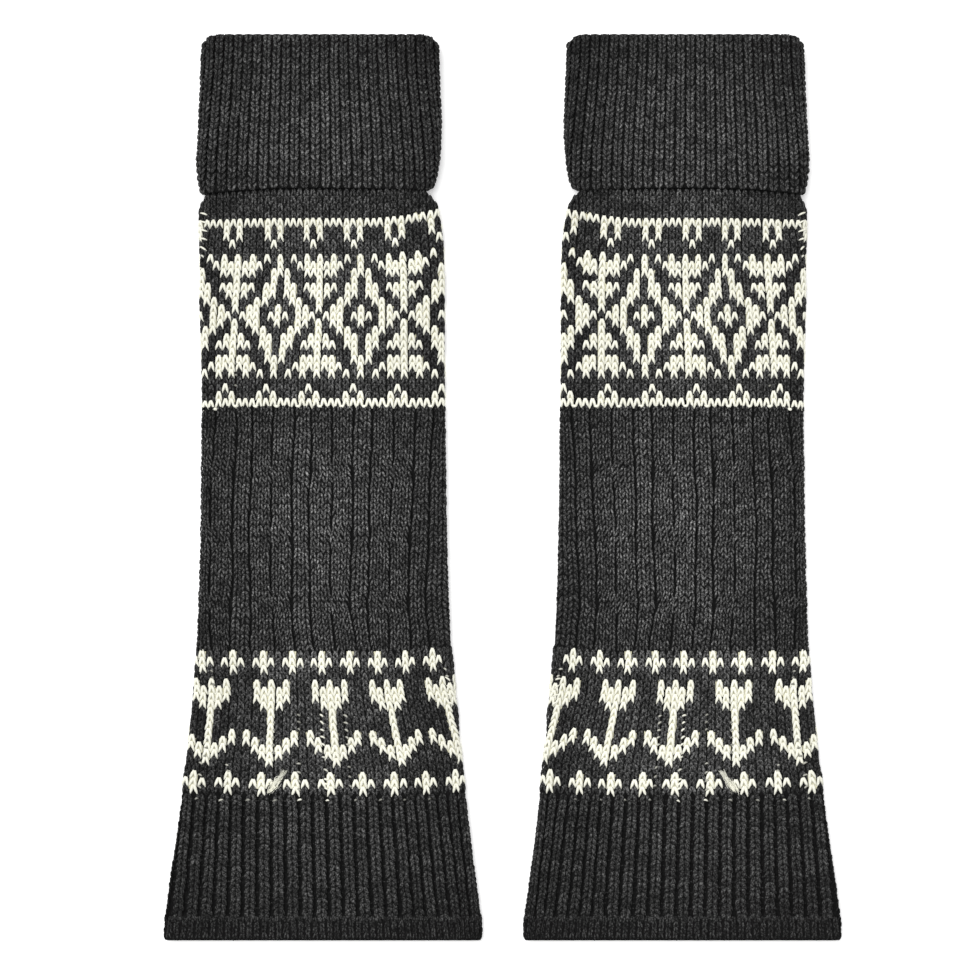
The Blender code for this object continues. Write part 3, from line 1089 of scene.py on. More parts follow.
    def floats(self) -> list[Stitch]:
        """Lay out the short yarns that show between wales, and those under the upper band's last row.

        Returns:
            The yarns.
        """
        made = []
        for x0, up0, x1, up1, count, length, cream in LADDERS:
            for rung in range(int(count)):
                share = rung / max(count - 1.0, 1.0)
                x, up = x0 + share * (x1 - x0), up0 + share * (up1 - up0)
                lean = -self.rng.uniform(0.15, 0.75) if up > HEM_TOP else self.rng.uniform(0.1, 0.45)
                size = (1.15 * length * self.rng.uniform(0.85, 1.15), 2.4, 2.0)
                light = min(1.25 * cream, 1.0)
                made.append(stitch_on(LEG, LEG.around_of(x, up), up, size, light, 0.4, lean, -0.55))
        up = UPPER.top - (UPPER.rows - 0.2) * UPPER.pitch
        for three in range(1, 13):
            around = UPPER.place(3.0 * three + UPPER.middle_wale - 4.5, up)
            if abs(around) < 54.0:
                height = up + UPPER.lift(around, up) - (0.9 if around < -44.0 else 0.2)
                lean = pi + self.rng.uniform(-0.3, 0.3)
                made.append(stitch_on(LEG, around, height, (2.6, 3.6, 2.0), 1.0, 0.5, lean, -0.2))
        return made

    def wisp(self) -> list[Stitch]:
        """Lay out the tuft of loose fibres that clings to the lower band.

        Returns:
            The fibres.
        """
        made, rng = [], self.rng
        for _ in range(110):
            share = rng.random() ** 1.3
            x = -23.0 + 5.6 * share + rng.gauss(0.0, 0.85 - 0.4 * share)
            up = 67.8 + 7.6 * share + rng.gauss(0.0, 0.6 - 0.3 * share)
            lean = radians(rng.gauss(56.0, 13.0)) + (pi if rng.random() < 0.5 else 0.0)
            size = (rng.uniform(2.4, 4.6), rng.uniform(0.3, 1.3), 1.6)
            tone = rng.uniform(0.7, 1.3)
            made.append(stitch_on(LEG, x, up, size, 1.0 - 0.35 * share, tone, lean, -0.8))
        return made


@dataclass
class Graph:
    """Helper that adds nodes to a tree and links them."""

    tree: bpy.types.NodeTree

    def add(self, kind: str, sources: dict[int | str, object] | None = None,
            **settings: object) -> bpy.types.Node:
        """Add a node.

        Args:
            kind: Name of the node's type.
            sources: What goes into its inputs, by name or number: sockets or plain values.
            settings: The node's own settings.

        Returns:
            The node.
        """
        node = self.tree.nodes.new(kind)
        for name, value in settings.items():
            setattr(node, name, value)
        for key, source in (sources or {}).items():
            self.link(source, node.inputs[key])
        return node

    def link(self, source: object, target: bpy.types.NodeSocket) -> None:
        """Link a socket to another, or set a plain value on it.

        Args:
            source: A socket or a plain value.
            target: The input it goes into.
        """
        if isinstance(source, bpy.types.NodeSocket):
            self.tree.links.new(source, target)
        else:
            target.default_value = source

    def math(self, operation: str, *sources: object) -> bpy.types.NodeSocket:
        """Work out a number from others."""
        return self.add("ShaderNodeMath", dict(enumerate(sources)), operation=operation).outputs[0]

    def map_range(self, *sources: object) -> bpy.types.NodeSocket:
        """Map a value from one range to another, held at its ends: value, low, high, start and end."""
        return self.add("ShaderNodeMapRange", dict(enumerate(sources))).outputs[0]

    def mix(self, share: object, a: object, b: object) -> bpy.types.NodeSocket:
        """Mix two colours."""
        return self.add("ShaderNodeMix", {0: share, 6: a, 7: b}, data_type="RGBA").outputs[2]

    def mix_number(self, share: object, a: object, b: object) -> bpy.types.NodeSocket:
        """Mix two numbers."""
        return self.add("ShaderNodeMix", {0: share, 2: a, 3: b}, data_type="FLOAT").outputs[0]

    def scale(self, colour: object, share: object) -> bpy.types.NodeSocket:
        """Make a colour or a vector larger or smaller."""
        return self.add("ShaderNodeVectorMath", {0: colour, "Scale": share}, operation="SCALE").outputs[0]

    def attribute(self, name: str, output: str = "Fac") -> bpy.types.NodeSocket:
        """Read an attribute in a material."""
        return self.add("ShaderNodeAttribute", attribute_name=name).outputs[output]

    def noise(self, scale: Triple, detail: float) -> bpy.types.NodeSocket:
        """Make noise on the object's own coordinates.

        Args:
            scale: Features per metre along each axis.
            detail: How much finer detail it has.

        Returns:
            The noise, from 0 to 1.
        """
        space = self.add("ShaderNodeTexCoord").outputs["Object"]
        place = self.add("ShaderNodeMapping", {"Vector": space, "Scale": scale}).outputs["Vector"]
        texture = self.add("ShaderNodeTexNoise", {"Vector": place, "Scale": 1.0, "Detail": detail})
        return texture.outputs["Fac"]

    def knit_relief(self) -> bpy.types.NodeSocket:
        """Height of plain knit, from a shell's own wale and row numbers.

        Returns:
            The height, from 0 between two stitches to 1.
        """
        knit = self.attribute("knit", "Vector")
        split = self.add("ShaderNodeSeparateXYZ", {"Vector": knit}).outputs
        from_middle = self.math("ABSOLUTE", self.math("SUBTRACT", self.math("FRACT", split["X"]), 0.5))
        aside = self.math("MULTIPLY", from_middle, 2.0)
        row = self.math("FRACT", self.math("MULTIPLY_ADD", aside, 0.7, split["Y"]))
        along = self.math("SINE", self.math("MULTIPLY", row, pi))
        across = self.math("SINE", self.math("MULTIPLY", aside, pi))
        return self.math("MULTIPLY", along, self.math("POWER", across, 0.6))


@dataclass(frozen=True)
class YarnFinish:
    """A wool-like yarn, or the cloth between its stitches: colours, flecks, fibres and sheen."""

    name: str
    charcoal: Colour = (0.031, 0.031, 0.0312, 1.0)
    fleck: Colour = (0.31, 0.31, 0.305, 1.0)
    cream: Colour = (0.96, 0.955, 0.85, 1.0)
    cream_low: Colour = (0.86, 0.85, 0.72, 1.0)
    is_ground: bool = False
    roughness: float = 0.9
    sheen: float = 0.05
    sheen_roughness: float = 0.5
    specular: float = 0.05
    bump: float = 0.0004
    bump_strength: float = 0.6

    def material(self) -> bpy.types.Material:
        """Build the finish's material.

        Returns:
            The material, which reads the attributes cream, tone, and raised or bare and knit.
        """
        made = bpy.data.materials.new(self.name)
        made.use_nodes = True
        graph = Graph(made.node_tree)
        flecks = graph.noise((1900.0, 1250.0, 1900.0), 2.0)
        grain = graph.noise((720.0, 560.0, 720.0), 1.0)
        broad = graph.noise((26.0, 22.0, 26.0), 2.0)
        height = graph.noise((1900.0, 700.0, 1900.0), 3.0)
        cream, tone = graph.attribute("cream"), graph.attribute("tone")
        dark = graph.mix(graph.map_range(flecks, 0.45, 0.75, 0.0, 1.0), self.charcoal, self.fleck)
        light = graph.mix(graph.map_range(flecks, 0.35, 0.65, 0.0, 1.0), self.cream_low, self.cream)
        colour = graph.mix(cream, dark, light)
        spread = graph.mix_number(cream, TONE_SPREAD, 0.1)
        shades = [
            graph.map_range(broad, 0.3, 0.7, 0.95, 1.05),
            graph.mix_number(cream, graph.map_range(grain, 0.3, 0.7, 0.72, 1.28), 1.0),
        ]
        if self.is_ground:
            # painted shade: between stitches the cloth takes the finish's darker colours, and bare cloth, in
            # its yarns' own colours, is darkened in the hollows of its knit
            bare, knit = graph.attribute("bare"), graph.knit_relief()
            colour = graph.mix(bare, colour, graph.mix(cream, YARN_DARK, YARN_CREAM))
            shades.append(graph.mix_number(bare, 1.0, graph.map_range(knit, 0.0, 0.6, 0.3, 1.0)))
            height = graph.math("MULTIPLY_ADD", height, 0.25, graph.math("MULTIPLY", knit, bare))
        else:
            # painted shade: yarn low between stitches is darkened, charcoal far more than cream; charcoal
            # high up a little lightened
            painted_shade_height = graph.attribute("painted_shade_height")
            dark_painted_shade, cream_painted_shade = graph.mix_number(painted_shade_height, 0.2, 1.1), graph.mix_number(painted_shade_height, 0.86, 1.0)
            shades.append(graph.mix_number(cream, dark_painted_shade, cream_painted_shade))
        shade = graph.math("MULTIPLY_ADD", graph.math("SUBTRACT", tone, 0.5), spread, 1.0)
        for other in shades:
            shade = graph.math("MULTIPLY", shade, other)
        bump = graph.add("ShaderNodeBump", {
            "Strength": self.bump_strength, "Distance": self.bump, "Height": height})
        values = {"Base Color": graph.scale(colour, shade), "Roughness": self.roughness,
                  "Sheen Weight": self.sheen, "Sheen Roughness": self.sheen_roughness,
                  "Specular IOR Level": self.specular, "Normal": bump.outputs["Normal"]}
        for name, value in values.items():
            graph.link(value, made.node_tree.nodes["Principled BSDF"].inputs[name])
        return made


@dataclass(frozen=True)
class Strand:
    """A stitch's strand of yarn, in shares of a wale's width, a row's height and a stitch's height."""

    start: Triple
    middle: Triple
    end: Triple
    radius: float
    start_share: float
    end_share: float
    is_pair: bool = True
    sides: int = 5
    segments: int = 3
    shake: float = 0.12
    tilt: float = 0.07


class Strands(Enum):
    """The strands of the pieces."""

    BAND = Strand((0.07, 0.57, 0.14), (0.215, 0.12, 0.42), (0.45, -0.82, -0.12), 0.222, 0.75, 0.3, shake=0.14)
    PLAIN = Strand((0.13, 0.64, -0.1), (0.25, 0.08, 0.44), (0.45, -0.78, -0.34), 0.182, 0.7, 0.35,
                   shake=0.2, tilt=0.12)
    CUFF = Strand((0.12, 0.64, -0.06), (0.215, 0.06, 0.48), (0.375, -0.74, -0.3), 0.182, 0.6, 0.5,
                  shake=0.18, tilt=0.12)
    HEM = Strand((0.12, 0.66, 0.0), (0.215, 0.10, 0.44), (0.35, -0.86, -0.3), 0.18, 0.7, 0.4,
                 shake=0.2, tilt=0.14)
    BUMP = Strand((-0.5, -0.05, -0.3), (0.0, 0.12, 0.75), (0.5, -0.05, -0.3), 0.30, 0.5, 0.5,
                  False, 4, 3, 0.2, 0.3)
    FLOAT = Strand((-0.5, 0.0, -0.2), (0.0, 0.3, 0.6), (0.5, 0.0, -0.2), 0.2, 0.6, 0.6, False, 5, 4, 0.1, 0.1)
    WISP = Strand((-0.5, 0.0, 0.2), (0.0, 0.8, 0.5), (0.5, 0.0, 0.1), 0.12, 0.4, 0.3, False, 4, 5, 0.1, 0.05)


class StitchTree:
    """Geometry Nodes tree that makes one stitch from a strand and sets it on every point of a mesh."""

    INPUTS = {"Start": "Vector", "Middle": "Vector", "End": "Vector", "Radius": "Float",
              "Start Share": "Float", "End Share": "Float", "Sides": "Int", "Segments": "Int",
              "Shake": "Float", "Tilt": "Float", "Seed": "Int", "Material": "Material"}

    def __init__(self, name: str, is_pair: bool) -> None:
        """Build the tree.

        Args:
            name: Name of the node group.
            is_pair: Make the strand and its mirror image, as in a knit stitch.
        """
        self.tree = bpy.data.node_groups.new(name, "GeometryNodeTree")
        face = self.tree.interface
        face.new_socket("Geometry", in_out="INPUT", socket_type="NodeSocketGeometry")
        for label, kind in self.INPUTS.items():
            face.new_socket(label, in_out="INPUT", socket_type=f"NodeSocket{kind}")
        face.new_socket("Geometry", in_out="OUTPUT", socket_type="NodeSocketGeometry")
        self.graph = Graph(self.tree)
        self.inlet = self.graph.add("NodeGroupInput").outputs
        self.graph.add("NodeGroupOutput", {0: self.scattered(self.stitch(is_pair))})

    def strand(self) -> bpy.types.NodeSocket:
        """Sweep a tapered strand along its curve, and keep how high each of its points lies, for painted
        shade.

        Returns:
            The strand's mesh.
        """
        graph, inlet = self.graph, self.inlet
        curve = graph.add("GeometryNodeCurveQuadraticBezier", {
            "Resolution": inlet["Segments"], "Start": inlet["Start"], "Middle": inlet["Middle"],
            "End": inlet["End"]})
        share = graph.add("GeometryNodeSplineParameter").outputs["Factor"]
        rest = graph.math("SUBTRACT", 1.0, share)
        ends = graph.math("ADD", inlet["Start Share"], inlet["End Share"])
        peak = graph.math("MULTIPLY_ADD", ends, -0.5, 2.0)
        first = graph.math("MULTIPLY", graph.math("MULTIPLY", rest, rest), inlet["Start Share"])
        both = graph.math("MULTIPLY", graph.math("MULTIPLY", share, rest), 2.0)
        third = graph.math("MULTIPLY", graph.math("MULTIPLY", share, share), inlet["End Share"])
        size = graph.math("ADD", graph.math("ADD", first, graph.math("MULTIPLY", both, peak)), third)
        profile = graph.add("GeometryNodeCurvePrimitiveCircle", {
            "Resolution": inlet["Sides"], "Radius": inlet["Radius"]})
        sweep = graph.add("GeometryNodeCurveToMesh", {
            "Curve": curve.outputs["Curve"], "Profile Curve": profile.outputs["Curve"], "Scale": size,
            "Fill Caps": True})
        place = graph.add("GeometryNodeInputPosition").outputs[0]
        height = graph.add("ShaderNodeSeparateXYZ", {0: place}).outputs["Z"]
        kept = graph.add("GeometryNodeStoreNamedAttribute", {
            "Name": "painted_shade_height", "Geometry": sweep.outputs["Mesh"],
            "Value": graph.map_range(height, -0.12, 0.36, 0.0, 1.0)}, data_type="FLOAT", domain="POINT")
        return kept.outputs["Geometry"]

    def stitch(self, is_pair: bool) -> bpy.types.NodeSocket:
        """Make one stitch at the origin.

        Args:
            is_pair: Add the strand's mirror image.

        Returns:
            The stitch's mesh.
        """
        graph = self.graph
        strand = self.strand()
        if not is_pair:
            return strand
        mirrored = graph.add("GeometryNodeTransform", {"Geometry": strand, "Scale": (-1.0, 1.0, 1.0)})
        turned = graph.add("GeometryNodeFlipFaces", {"Mesh": mirrored.outputs["Geometry"]})
        both = graph.add("GeometryNodeJoinGeometry", {0: strand})
        graph.link(turned.outputs["Mesh"], both.inputs[0])
        return both.outputs[0]

    def named(self, name: str) -> bpy.types.NodeSocket:
        """Read a vector attribute of the points."""
        node = self.graph.add("GeometryNodeInputNamedAttribute", {"Name": name}, data_type="FLOAT_VECTOR")
        return node.outputs["Attribute"]

    def scattered(self, stitch: bpy.types.NodeSocket) -> bpy.types.NodeSocket:
        """Set the stitch on the points, a little unevenly, and turn the copies into one mesh.

        Args:
            stitch: The stitch's mesh.

        Returns:
            The mesh of all stitches.
        """
        graph, inlet = self.graph, self.inlet
        offset = graph.add("FunctionNodeRandomValue", {
            0: (-MM, -MM, -0.6 * MM), 1: (MM, MM, 0.6 * MM), "Seed": inlet["Seed"]}, data_type="FLOAT_VECTOR")
        moved = graph.add("GeometryNodeSetPosition", {
            "Geometry": inlet["Geometry"], "Offset": graph.scale(offset.outputs[0], inlet["Shake"])})
        turn = graph.add("FunctionNodeAxesToRotation", {
            "Primary Axis": self.named("outward"), "Secondary Axis": self.named("along")},
            primary_axis="Z", secondary_axis="Y")
        angle = graph.add("FunctionNodeRandomValue", {
            2: graph.math("MULTIPLY", inlet["Tilt"], -1.0), 3: inlet["Tilt"],
            "Seed": graph.math("ADD", inlet["Seed"], 7.0)}, data_type="FLOAT")
        euler = graph.add("ShaderNodeCombineXYZ", {"Z": angle.outputs[1]})
        shaken = graph.add("FunctionNodeEulerToRotation", {0: euler.outputs[0]})
        rotation = graph.add("FunctionNodeRotateRotation", {
            "Rotation": turn.outputs[0], "Rotate By": shaken.outputs[0]}, rotation_space="LOCAL")
        copies = graph.add("GeometryNodeInstanceOnPoints", {
            "Points": moved.outputs["Geometry"], "Instance": stitch, "Rotation": rotation.outputs[0],
            "Scale": self.named("size")})
        real = graph.add("GeometryNodeRealizeInstances", {"Geometry": copies.outputs["Instances"]})
        smooth = graph.add("GeometryNodeSetShadeSmooth", {"Geometry": real.outputs["Geometry"]})
        dressed = graph.add("GeometryNodeSetMaterial", {
            "Geometry": smooth.outputs["Geometry"], "Material": inlet["Material"]})
        return dressed.outputs["Geometry"]

    def make(self, name: str, points: bpy.types.Mesh, strand: Strand, seed: int,
             material: bpy.types.Material) -> bpy.types.Object:
        """Run the tree on a mesh of points and keep the result as a plain mesh.

        Args:
            name: Name of the object made.
            points: Mesh whose vertices carry the stitches' attributes.
            strand: Shape of the strand.
            seed: Seed of the unevenness.
            material: The yarn's material.

        Returns:
            The new object, linked to the scene.
        """
        carrier = bpy.data.objects.new(f"{name}_points", points)
        bpy.context.scene.collection.objects.link(carrier)
        modifier = carrier.modifiers.new("stitches", "NODES")
        modifier.node_group = self.tree
        values = {label.replace("_", " ").title(): value for label, value in vars(strand).items()}
        values |= {"Seed": seed, "Material": material}
        for item in self.tree.interface.items_tree:
            if item.name in values:
                modifier[item.identifier] = values[item.name]
        depsgraph = bpy.context.evaluated_depsgraph_get()
        depsgraph.update()
        mesh = bpy.data.meshes.new_from_object(
            carrier.evaluated_get(depsgraph), preserve_all_data_layers=True, depsgraph=depsgraph)
        mesh.name = name
        for unused in ("outward", "along", "size"):
            if unused in mesh.attributes:
                mesh.attributes.remove(mesh.attributes[unused])
        bpy.data.objects.remove(carrier)
        bpy.data.meshes.remove(points)
        return linked(name, mesh)


def linked(name: str, data: bpy.types.ID) -> bpy.types.Object:
    """Make an object of a mesh, light or camera, and link it to the scene."""
    made = bpy.data.objects.new(name, data)
    bpy.context.scene.collection.objects.link(made)
    return made


def attach(mesh: bpy.types.Mesh, label: str, values: list, domain: str = "POINT") -> None:
    """Add an attribute to a mesh.

    Args:
        mesh: The mesh.
        label: Name of the attribute.
        values: Numbers, or vectors of three numbers, one for each point or face.
        domain: POINT or FACE.
    """
    if isinstance(values[0], tuple):
        layer = mesh.attributes.new(label, "FLOAT_VECTOR", domain)
        layer.data.foreach_set("vector", [number for value in values for number in value])
    else:
        mesh.attributes.new(label, "FLOAT", domain).data.foreach_set("value", values)


@dataclass
class Shell:
    """Points and faces of a closed shell of cloth, with the attributes that its material reads."""

    points: list[Vector] = field(default_factory=list)
    knit: list[Triple] = field(default_factory=list)
    bare: list[float] = field(default_factory=list)
    faces: list[list[int]] = field(default_factory=list)
    cream: list[float] = field(default_factory=list)

    def add_point(self, point: Vector, wale: float, row: float, bare: float) -> None:
        """Add a point with its place in the knit, and whether its cloth is bare of stitches."""
        self.points.append(point)
        self.knit.append((wale, row, 0.0))
        self.bare.append(bare)

    def add_face(self, corners: list[int], cream: float = 0.0) -> None:
        """Add a face with its share of cream."""
        self.faces.append(corners)
        self.cream.append(cream)


@dataclass
class Warmer:
    """One warmer: its two shells of cloth and the knit on them."""

    name: str
    side: int
    seed: int
    trees: dict[bool, StitchTree]
    materials: dict[str, bpy.types.Material]

    def world(self, point: Vector) -> Triple:
        """A point of the warmer in the shared frame, in metres."""
        return (self.side * (CENTRE_OFFSET - point.x) * MM, (point.y - LENGTH / 2) * MM, point.z * MM)

    def direction(self, vector: Vector) -> Triple:
        """A direction of the warmer in the shared frame."""
        return (-self.side * vector.x, vector.y, vector.z)

    def points(self, name: str, stitches: list[Stitch]) -> bpy.types.Mesh:
        """Make a mesh of points that carry the stitches' attributes.

        Args:
            name: Name of the mesh.
            stitches: The stitches.

        Returns:
            The mesh.
        """
        mesh = bpy.data.meshes.new(name)
        mesh.from_pydata([self.world(stitch.place) for stitch in stitches], [], [])
        attach(mesh, "outward", [self.direction(stitch.outward) for stitch in stitches])
        attach(mesh, "along", [self.direction(stitch.along) for stitch in stitches])
        attach(mesh, "size", [(stitch.wide * MM, stitch.tall * MM, stitch.high * MM) for stitch in stitches])
        attach(mesh, "cream", [stitch.cream for stitch in stitches])
        attach(mesh, "tone", [stitch.tone for stitch in stitches])
        return mesh

    def knit(self, piece: Piece, slot: Slot, stitches: list[Stitch], strand: Strands) -> bpy.types.Object:
        """Make one knitted piece and hang it on the frame.

        Args:
            piece: Kind of piece.
            slot: Which of the yarn materials it takes.
            stitches: Its stitches.
            strand: Shape of their strand.

        Returns:
            The piece.
        """
        name = f"{self.name}_{piece.value}"
        self.seed += 1
        tree = self.trees[strand.value.is_pair]
        material = self.materials[slot.value]
        made = tree.make(name, self.points(name, stitches), strand.value, self.seed, material)
        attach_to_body(made, "root")
        LOG.info("%s: %d stitches, %d faces", name, len(stitches), len(made.data.polygons))
        return made

    def cloth(self, part: str, shell: Shell, slot: Slot) -> bpy.types.Object:
        """Make a shell of cloth and hang it on the frame in place of its solids.

        Args:
            part: What the shell is of, leg or cuff.
            shell: Its points and faces.
            slot: Not used.

        Returns:
            The piece.
        """
        name = f"{self.name}_{part}_cloth"
        mesh = bpy.data.meshes.new(name)
        turned = [face if self.side < 0 else face[::-1] for face in shell.faces]
        mesh.from_pydata([self.world(point) for point in shell.points], [], turned)
        attach(mesh, "cream", shell.cream, "FACE")
        attach(mesh, "knit", shell.knit)
        attach(mesh, "bare", shell.bare)
        attach(mesh, "tone", [0.5] * len(shell.points))
        mesh.shade_smooth()
        mesh.materials.append(self.materials[f"{part}_ground"])
        made = linked(name, mesh)
        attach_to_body(made, "root")
        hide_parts(f"{self.name}_{part}_front", f"{self.name}_{part}_back")
        LOG.info("%s: %d faces", name, len(shell.faces))
        return made

    def leg_cloth(self) -> bpy.types.Object:
        """Make the leg's tube of cloth, open at the hem and inside the cuff.

        Returns:
            The piece.
        """
        across = (136, 8, 28)     # points on the front, round a side and on the back
        every = 3                 # the lining has one point for this many outside
        heights = [2.1 * i for i in range(6)] + [EDGE_BAND_TOP + 2.44 * i for i in range(1, 23)]
        heights += [LOWER.top - LOWER.pitch * i for i in range(19, -1, -1)]
        heights += [LOWER_BAND_TOP + 1.6165 * i for i in range(1, 76)]
        heights += [UPPER.top - UPPER.pitch * i for i in range(26, -5, -1)]
        heights += [341.0, 349.0, 362.0, 376.0, 390.0, 398.0, LEG_END]
        heights = sorted({round(up, 2) for up in heights if up <= LEG_END} | {0.0, 0.7, 1.4})
        shell = Shell()
        for up in heights:
            section = LEG.section(up)
            for around in section.ring(*across):
                bare = 1.0 - eased(section.point(around)[2], BARE_FROM, STITCHED_TO)
                shell.add_point(LEG.skin(around, up), self.back_wale(around, up) + 0.5, up / CLOTH_ROW, bare)
        count, start = across[0] + 2 * across[1] + across[2], len(shell.points)
        inner = count // every
        for up in heights:
            for around in LEG.section(up).ring(*across)[::every]:
                shell.add_point(LEG.lining(around, up), around / 3.0, up / CLOTH_ROW, 1.0)
        for row, (low, high) in enumerate(zip(heights, heights[1:])):
            middle = 0.5 * (low + high)
            section = LEG.section(middle)
            ring = section.ring(*across)
            for i in range(count):
                j = (i + 1) % count
                around = 0.5 * (ring[i] + ring[j]) if j else ring[i]
                cream = self.ground_cream(around, middle, section.point(around)[2] < STITCHED_TO)
                a, b = row * count, (row + 1) * count
                shell.add_face([a + i, a + j, b + j, b + i], cream)
            for i in range(inner):
                j = (i + 1) % inner
                a, b = start + row * inner, start + (row + 1) * inner
                shell.add_face([a + i, b + i, b + j, a + j])
        last = len(heights) - 1
        for i in range(inner):
            j = (i + 1) % inner
            outer = [(every * i + k) % count for k in range(every + 1)]
            shell.add_face([start + i, start + j, *reversed(outer)])
            top = [last * count + k for k in outer]
            shell.add_face([*top, start + last * inner + j, start + last * inner + i])
        return self.cloth("leg", shell, Slot.LEG)

    @staticmethod
    def back_wale(around: float, up: float) -> float:
        """Number of the wale at a place, on round the back."""
        band = LOWER if up < LOWER_BAND_TOP else UPPER
        return band.number(around, max(up, 69.8))

    @staticmethod
    def ground_cream(around: float, up: float, is_bare: bool) -> float:
        """Tell whether the cloth between stitches, or the bare cloth of the back, is cream.

        Args:
            around: Place along the cloth from the centre line.
            up: Place up the warmer.
            is_bare: The place is on the back, which has no stitches.

        Returns:
            1 for cream, or 0.
        """
        for band, first in ((LOWER, HEM_TOP), (UPPER, CABLES_END)):
            if first < up < band.top + 8.0:
                number = band.number(around, up)
                wale = floor(number + 0.5)
                aside = (0.0,) if is_bare else (-0.34 * band.pitch, 0.0, 0.55 * band.pitch)
                is_cream = all(band.chart(band.row_of(around, up - lower), wale) for lower in aside)
                return float(is_cream and (is_bare or not band.is_gap(number)))
        return 0.0

    def cuff_cloth(self) -> bpy.types.Object:
        """Make the turned-down cuff, closed round its fold.

        Returns:
            The piece.
        """
        across = (130, 14, 24)    # points on the front, round a side and on the back
        end = CUFF_DROP + FOLD_ARC + LINING_END
        outer = [0.0, 0.5, 1.6] + [CUFF_ROW * i for i in range(1, 22)]
        outer += [CUFF_DROP + FOLD_ARC * i / 8 for i in range(9)] + [end]
        inner = [end] + [CUFF_DROP + FOLD_ARC * i / 4 for i in range(4, -1, -1)]
        inner += [54.0, 40.0, 26.0, 12.0, 3.0, 0.0]
        rows = [(along, True) for along in outer] + [(along, False) for along in inner]
        shell = Shell()
        for along, is_outside in rows:
            section = CUFF.section(along, FOLD_RADIUS)
            pitch = CUFF.rib_pitch(min(CUFF_EDGE + along, FOLD_AXIS))
            for around in section.ring(*across):
                point, bare = CUFF.surface(around, along, GAP / 2), 1.0
                if is_outside:
                    point = CUFF.skin(around, along)
                    turned = 1.0 - eased(CUFF.turn(along), 1.8, 2.4)
                    bare -= eased(section.point(around)[2], BARE_FROM, STITCHED_TO) * turned
                shell.add_point(point, (around + RIB_SHIFT) / pitch, -along / CUFF_ROW, bare)
        count = across[0] + 2 * across[1] + across[2]
        for row in range(len(rows)):
            above = (row + 1) % len(rows)
            for i in range(count):
                j = (i + 1) % count
                shell.add_face([row * count + i, row * count + j, above * count + j, above * count + i])
        return self.cloth("cuff", shell, Slot.CUFF)

    def build(self, floor: bpy.types.Object) -> None:
        """Build the warmer.

        Args:
            floor: Not used.
        """
        rng = random.Random(self.seed)
        layout = Layout(rng)
        leg = self.leg_cloth()
        cuff = self.cuff_cloth()
        on_leg = [
            self.knit(Piece.UPPER, Slot.LEG, UPPER.stitches(rng), Strands.BAND),
            self.knit(Piece.CABLES, Slot.LEG, layout.cables(), Strands.PLAIN),
            self.knit(Piece.LOWER, Slot.LEG, LOWER.stitches(rng), Strands.BAND),
            self.knit(Piece.HEM, Slot.LEG, layout.hem(), Strands.HEM),
            self.knit(Piece.EDGE, Slot.LEG, layout.edge(), Strands.HEM),
            self.knit(Piece.PURL, Slot.LEG, layout.purl(), Strands.BUMP),
            self.knit(Piece.FLOATS, Slot.LEG, layout.floats(), Strands.FLOAT),
            self.knit(Piece.WISP, Slot.LEG, layout.wisp(), Strands.WISP),
        ]
        on_cuff = [self.knit(Piece.CUFF, Slot.CUFF, layout.cuff(), Strands.CUFF)]


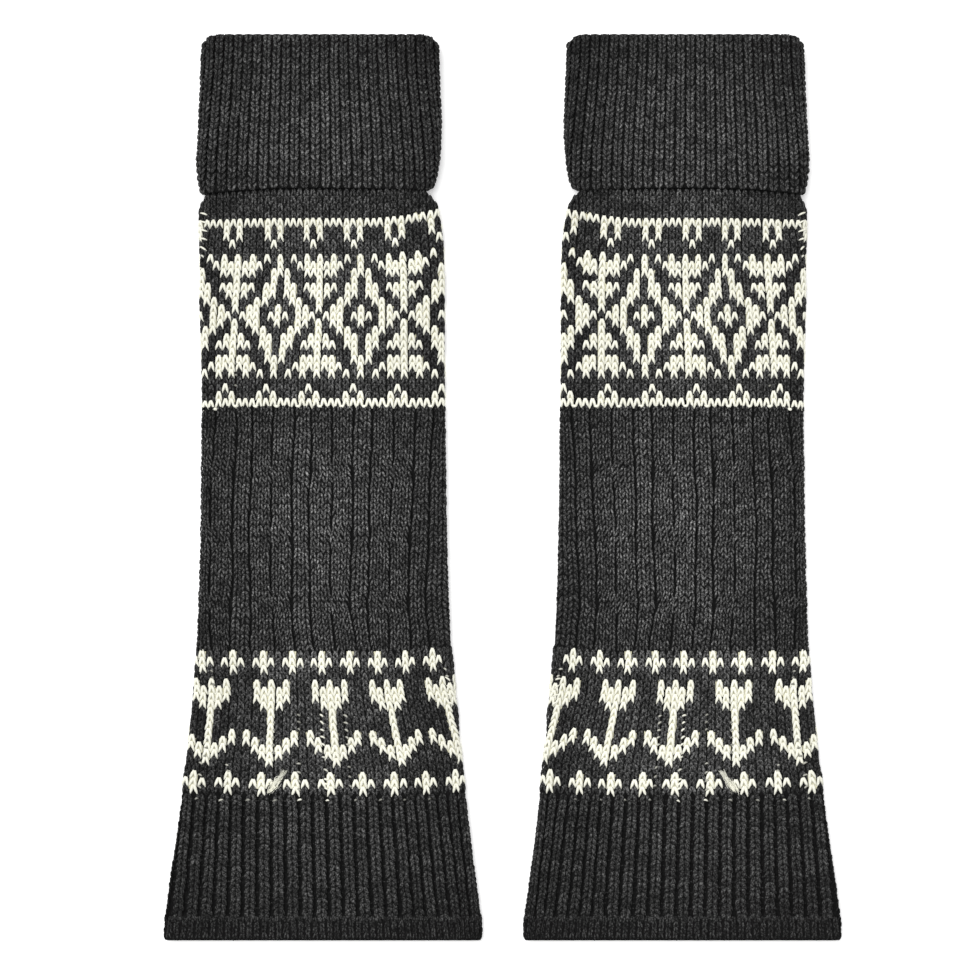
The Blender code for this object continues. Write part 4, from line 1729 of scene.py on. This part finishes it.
@dataclass(frozen=True)
class Studio:
    """The pale floor, the light and the camera straight above."""

    camera_x: float = -0.0057
    camera_y: float = -0.0011
    lens: float = 120.0
    sensor: float = 36.0
    field_width: float = 0.4386
    subject_height: float = 0.006
    sky_strength: float = 0.62
    key_strength: float = 2.3
    key_spread: float = radians(50.0)
    key_direction: Triple = (0.32, -0.38, -1.0)
    floor_half: float = 4.0
    floor_glow: float = 0.3

    def build(self) -> bpy.types.Object:
        """Build the studio.

        Returns:
            The floor.
        """
        self.world()
        self.light()
        self.camera()
        return self.floor()

    def floor(self) -> bpy.types.Object:
        """Make the floor.

        Returns:
            The floor.
        """
        mesh = bpy.data.meshes.new("floor")
        half = self.floor_half
        corners = [(-half, -half, 0), (half, -half, 0), (half, half, 0), (-half, half, 0)]
        mesh.from_pydata(corners, [], [(0, 1, 2, 3)])
        material = bpy.data.materials.new("floor_paper")
        material.use_nodes = True
        values = {"Base Color": (0.93, 0.93, 0.93, 1.0), "Roughness": 0.95, "Specular IOR Level": 0.1,
                  "Emission Color": (1.0, 1.0, 1.0, 1.0), "Emission Strength": self.floor_glow}
        for name, value in values.items():
            material.node_tree.nodes["Principled BSDF"].inputs[name].default_value = value
        mesh.materials.append(material)
        made = linked("floor", mesh)
        return made

    def world(self) -> None:
        """Light the scene evenly from all round."""
        world = bpy.data.worlds.new("studio")
        world.use_nodes = True
        background = world.node_tree.nodes["Background"].inputs
        background["Color"].default_value = (1.0, 1.0, 1.0, 1.0)
        background["Strength"].default_value = self.sky_strength
        bpy.context.scene.world = world

    def light(self) -> None:
        """Add one soft key light, high on the upper left."""
        key = bpy.data.lights.new("key", "SUN")
        key.energy = self.key_strength
        key.angle = self.key_spread
        made = linked("key", key)
        made.rotation_euler = Vector(self.key_direction).to_track_quat("-Z", "Y").to_euler()

    def camera(self) -> None:
        """Put the camera straight above the pair."""
        data = bpy.data.cameras.new("camera")
        data.lens = self.lens
        data.sensor_width = self.sensor
        data.clip_start, data.clip_end = 0.05, 50.0
        made = linked("camera", data)
        away = self.field_width * self.lens / self.sensor
        made.location = (self.camera_x, self.camera_y, self.subject_height + away)
        bpy.context.scene.camera = made
        bpy.context.scene.view_settings.view_transform = "Standard"


def finishes() -> dict[str, bpy.types.Material]:
    """Build the four yarn finishes: two for stitches and two for the cloth between them.

    Returns:
        The materials by name.
    """
    # painted shade: the cloth between stitches is coloured darker than its yarns
    low: Colour = (0.007, 0.007, 0.007, 1.0)
    cream: Colour = (0.72, 0.70, 0.53, 1.0)
    cream_low: Colour = (0.6, 0.58, 0.42, 1.0)
    finish = [YarnFinish(slot.value) for slot in Slot]
    for part in ("leg", "cuff"):
        finish.append(YarnFinish(f"{part}_ground", low, low, cream, cream_low, True, sheen=0.0, bump=0.0008))
    return {yarn.name: yarn.material() for yarn in finish}


def main() -> None:
    """Build the studio and the pair."""
    logging.basicConfig(level=logging.INFO, format="%(message)s")
    floor = Studio().build()
    trees = {True: StitchTree("knit_stitch", True), False: StitchTree("purl_bump", False)}
    materials = finishes()
    for name, side, seed in (("left", -1, 11), ("right", 1, 47)):
        Warmer(name, side, seed, trees, materials).build(floor)


if __name__ == "__main__":
    main()
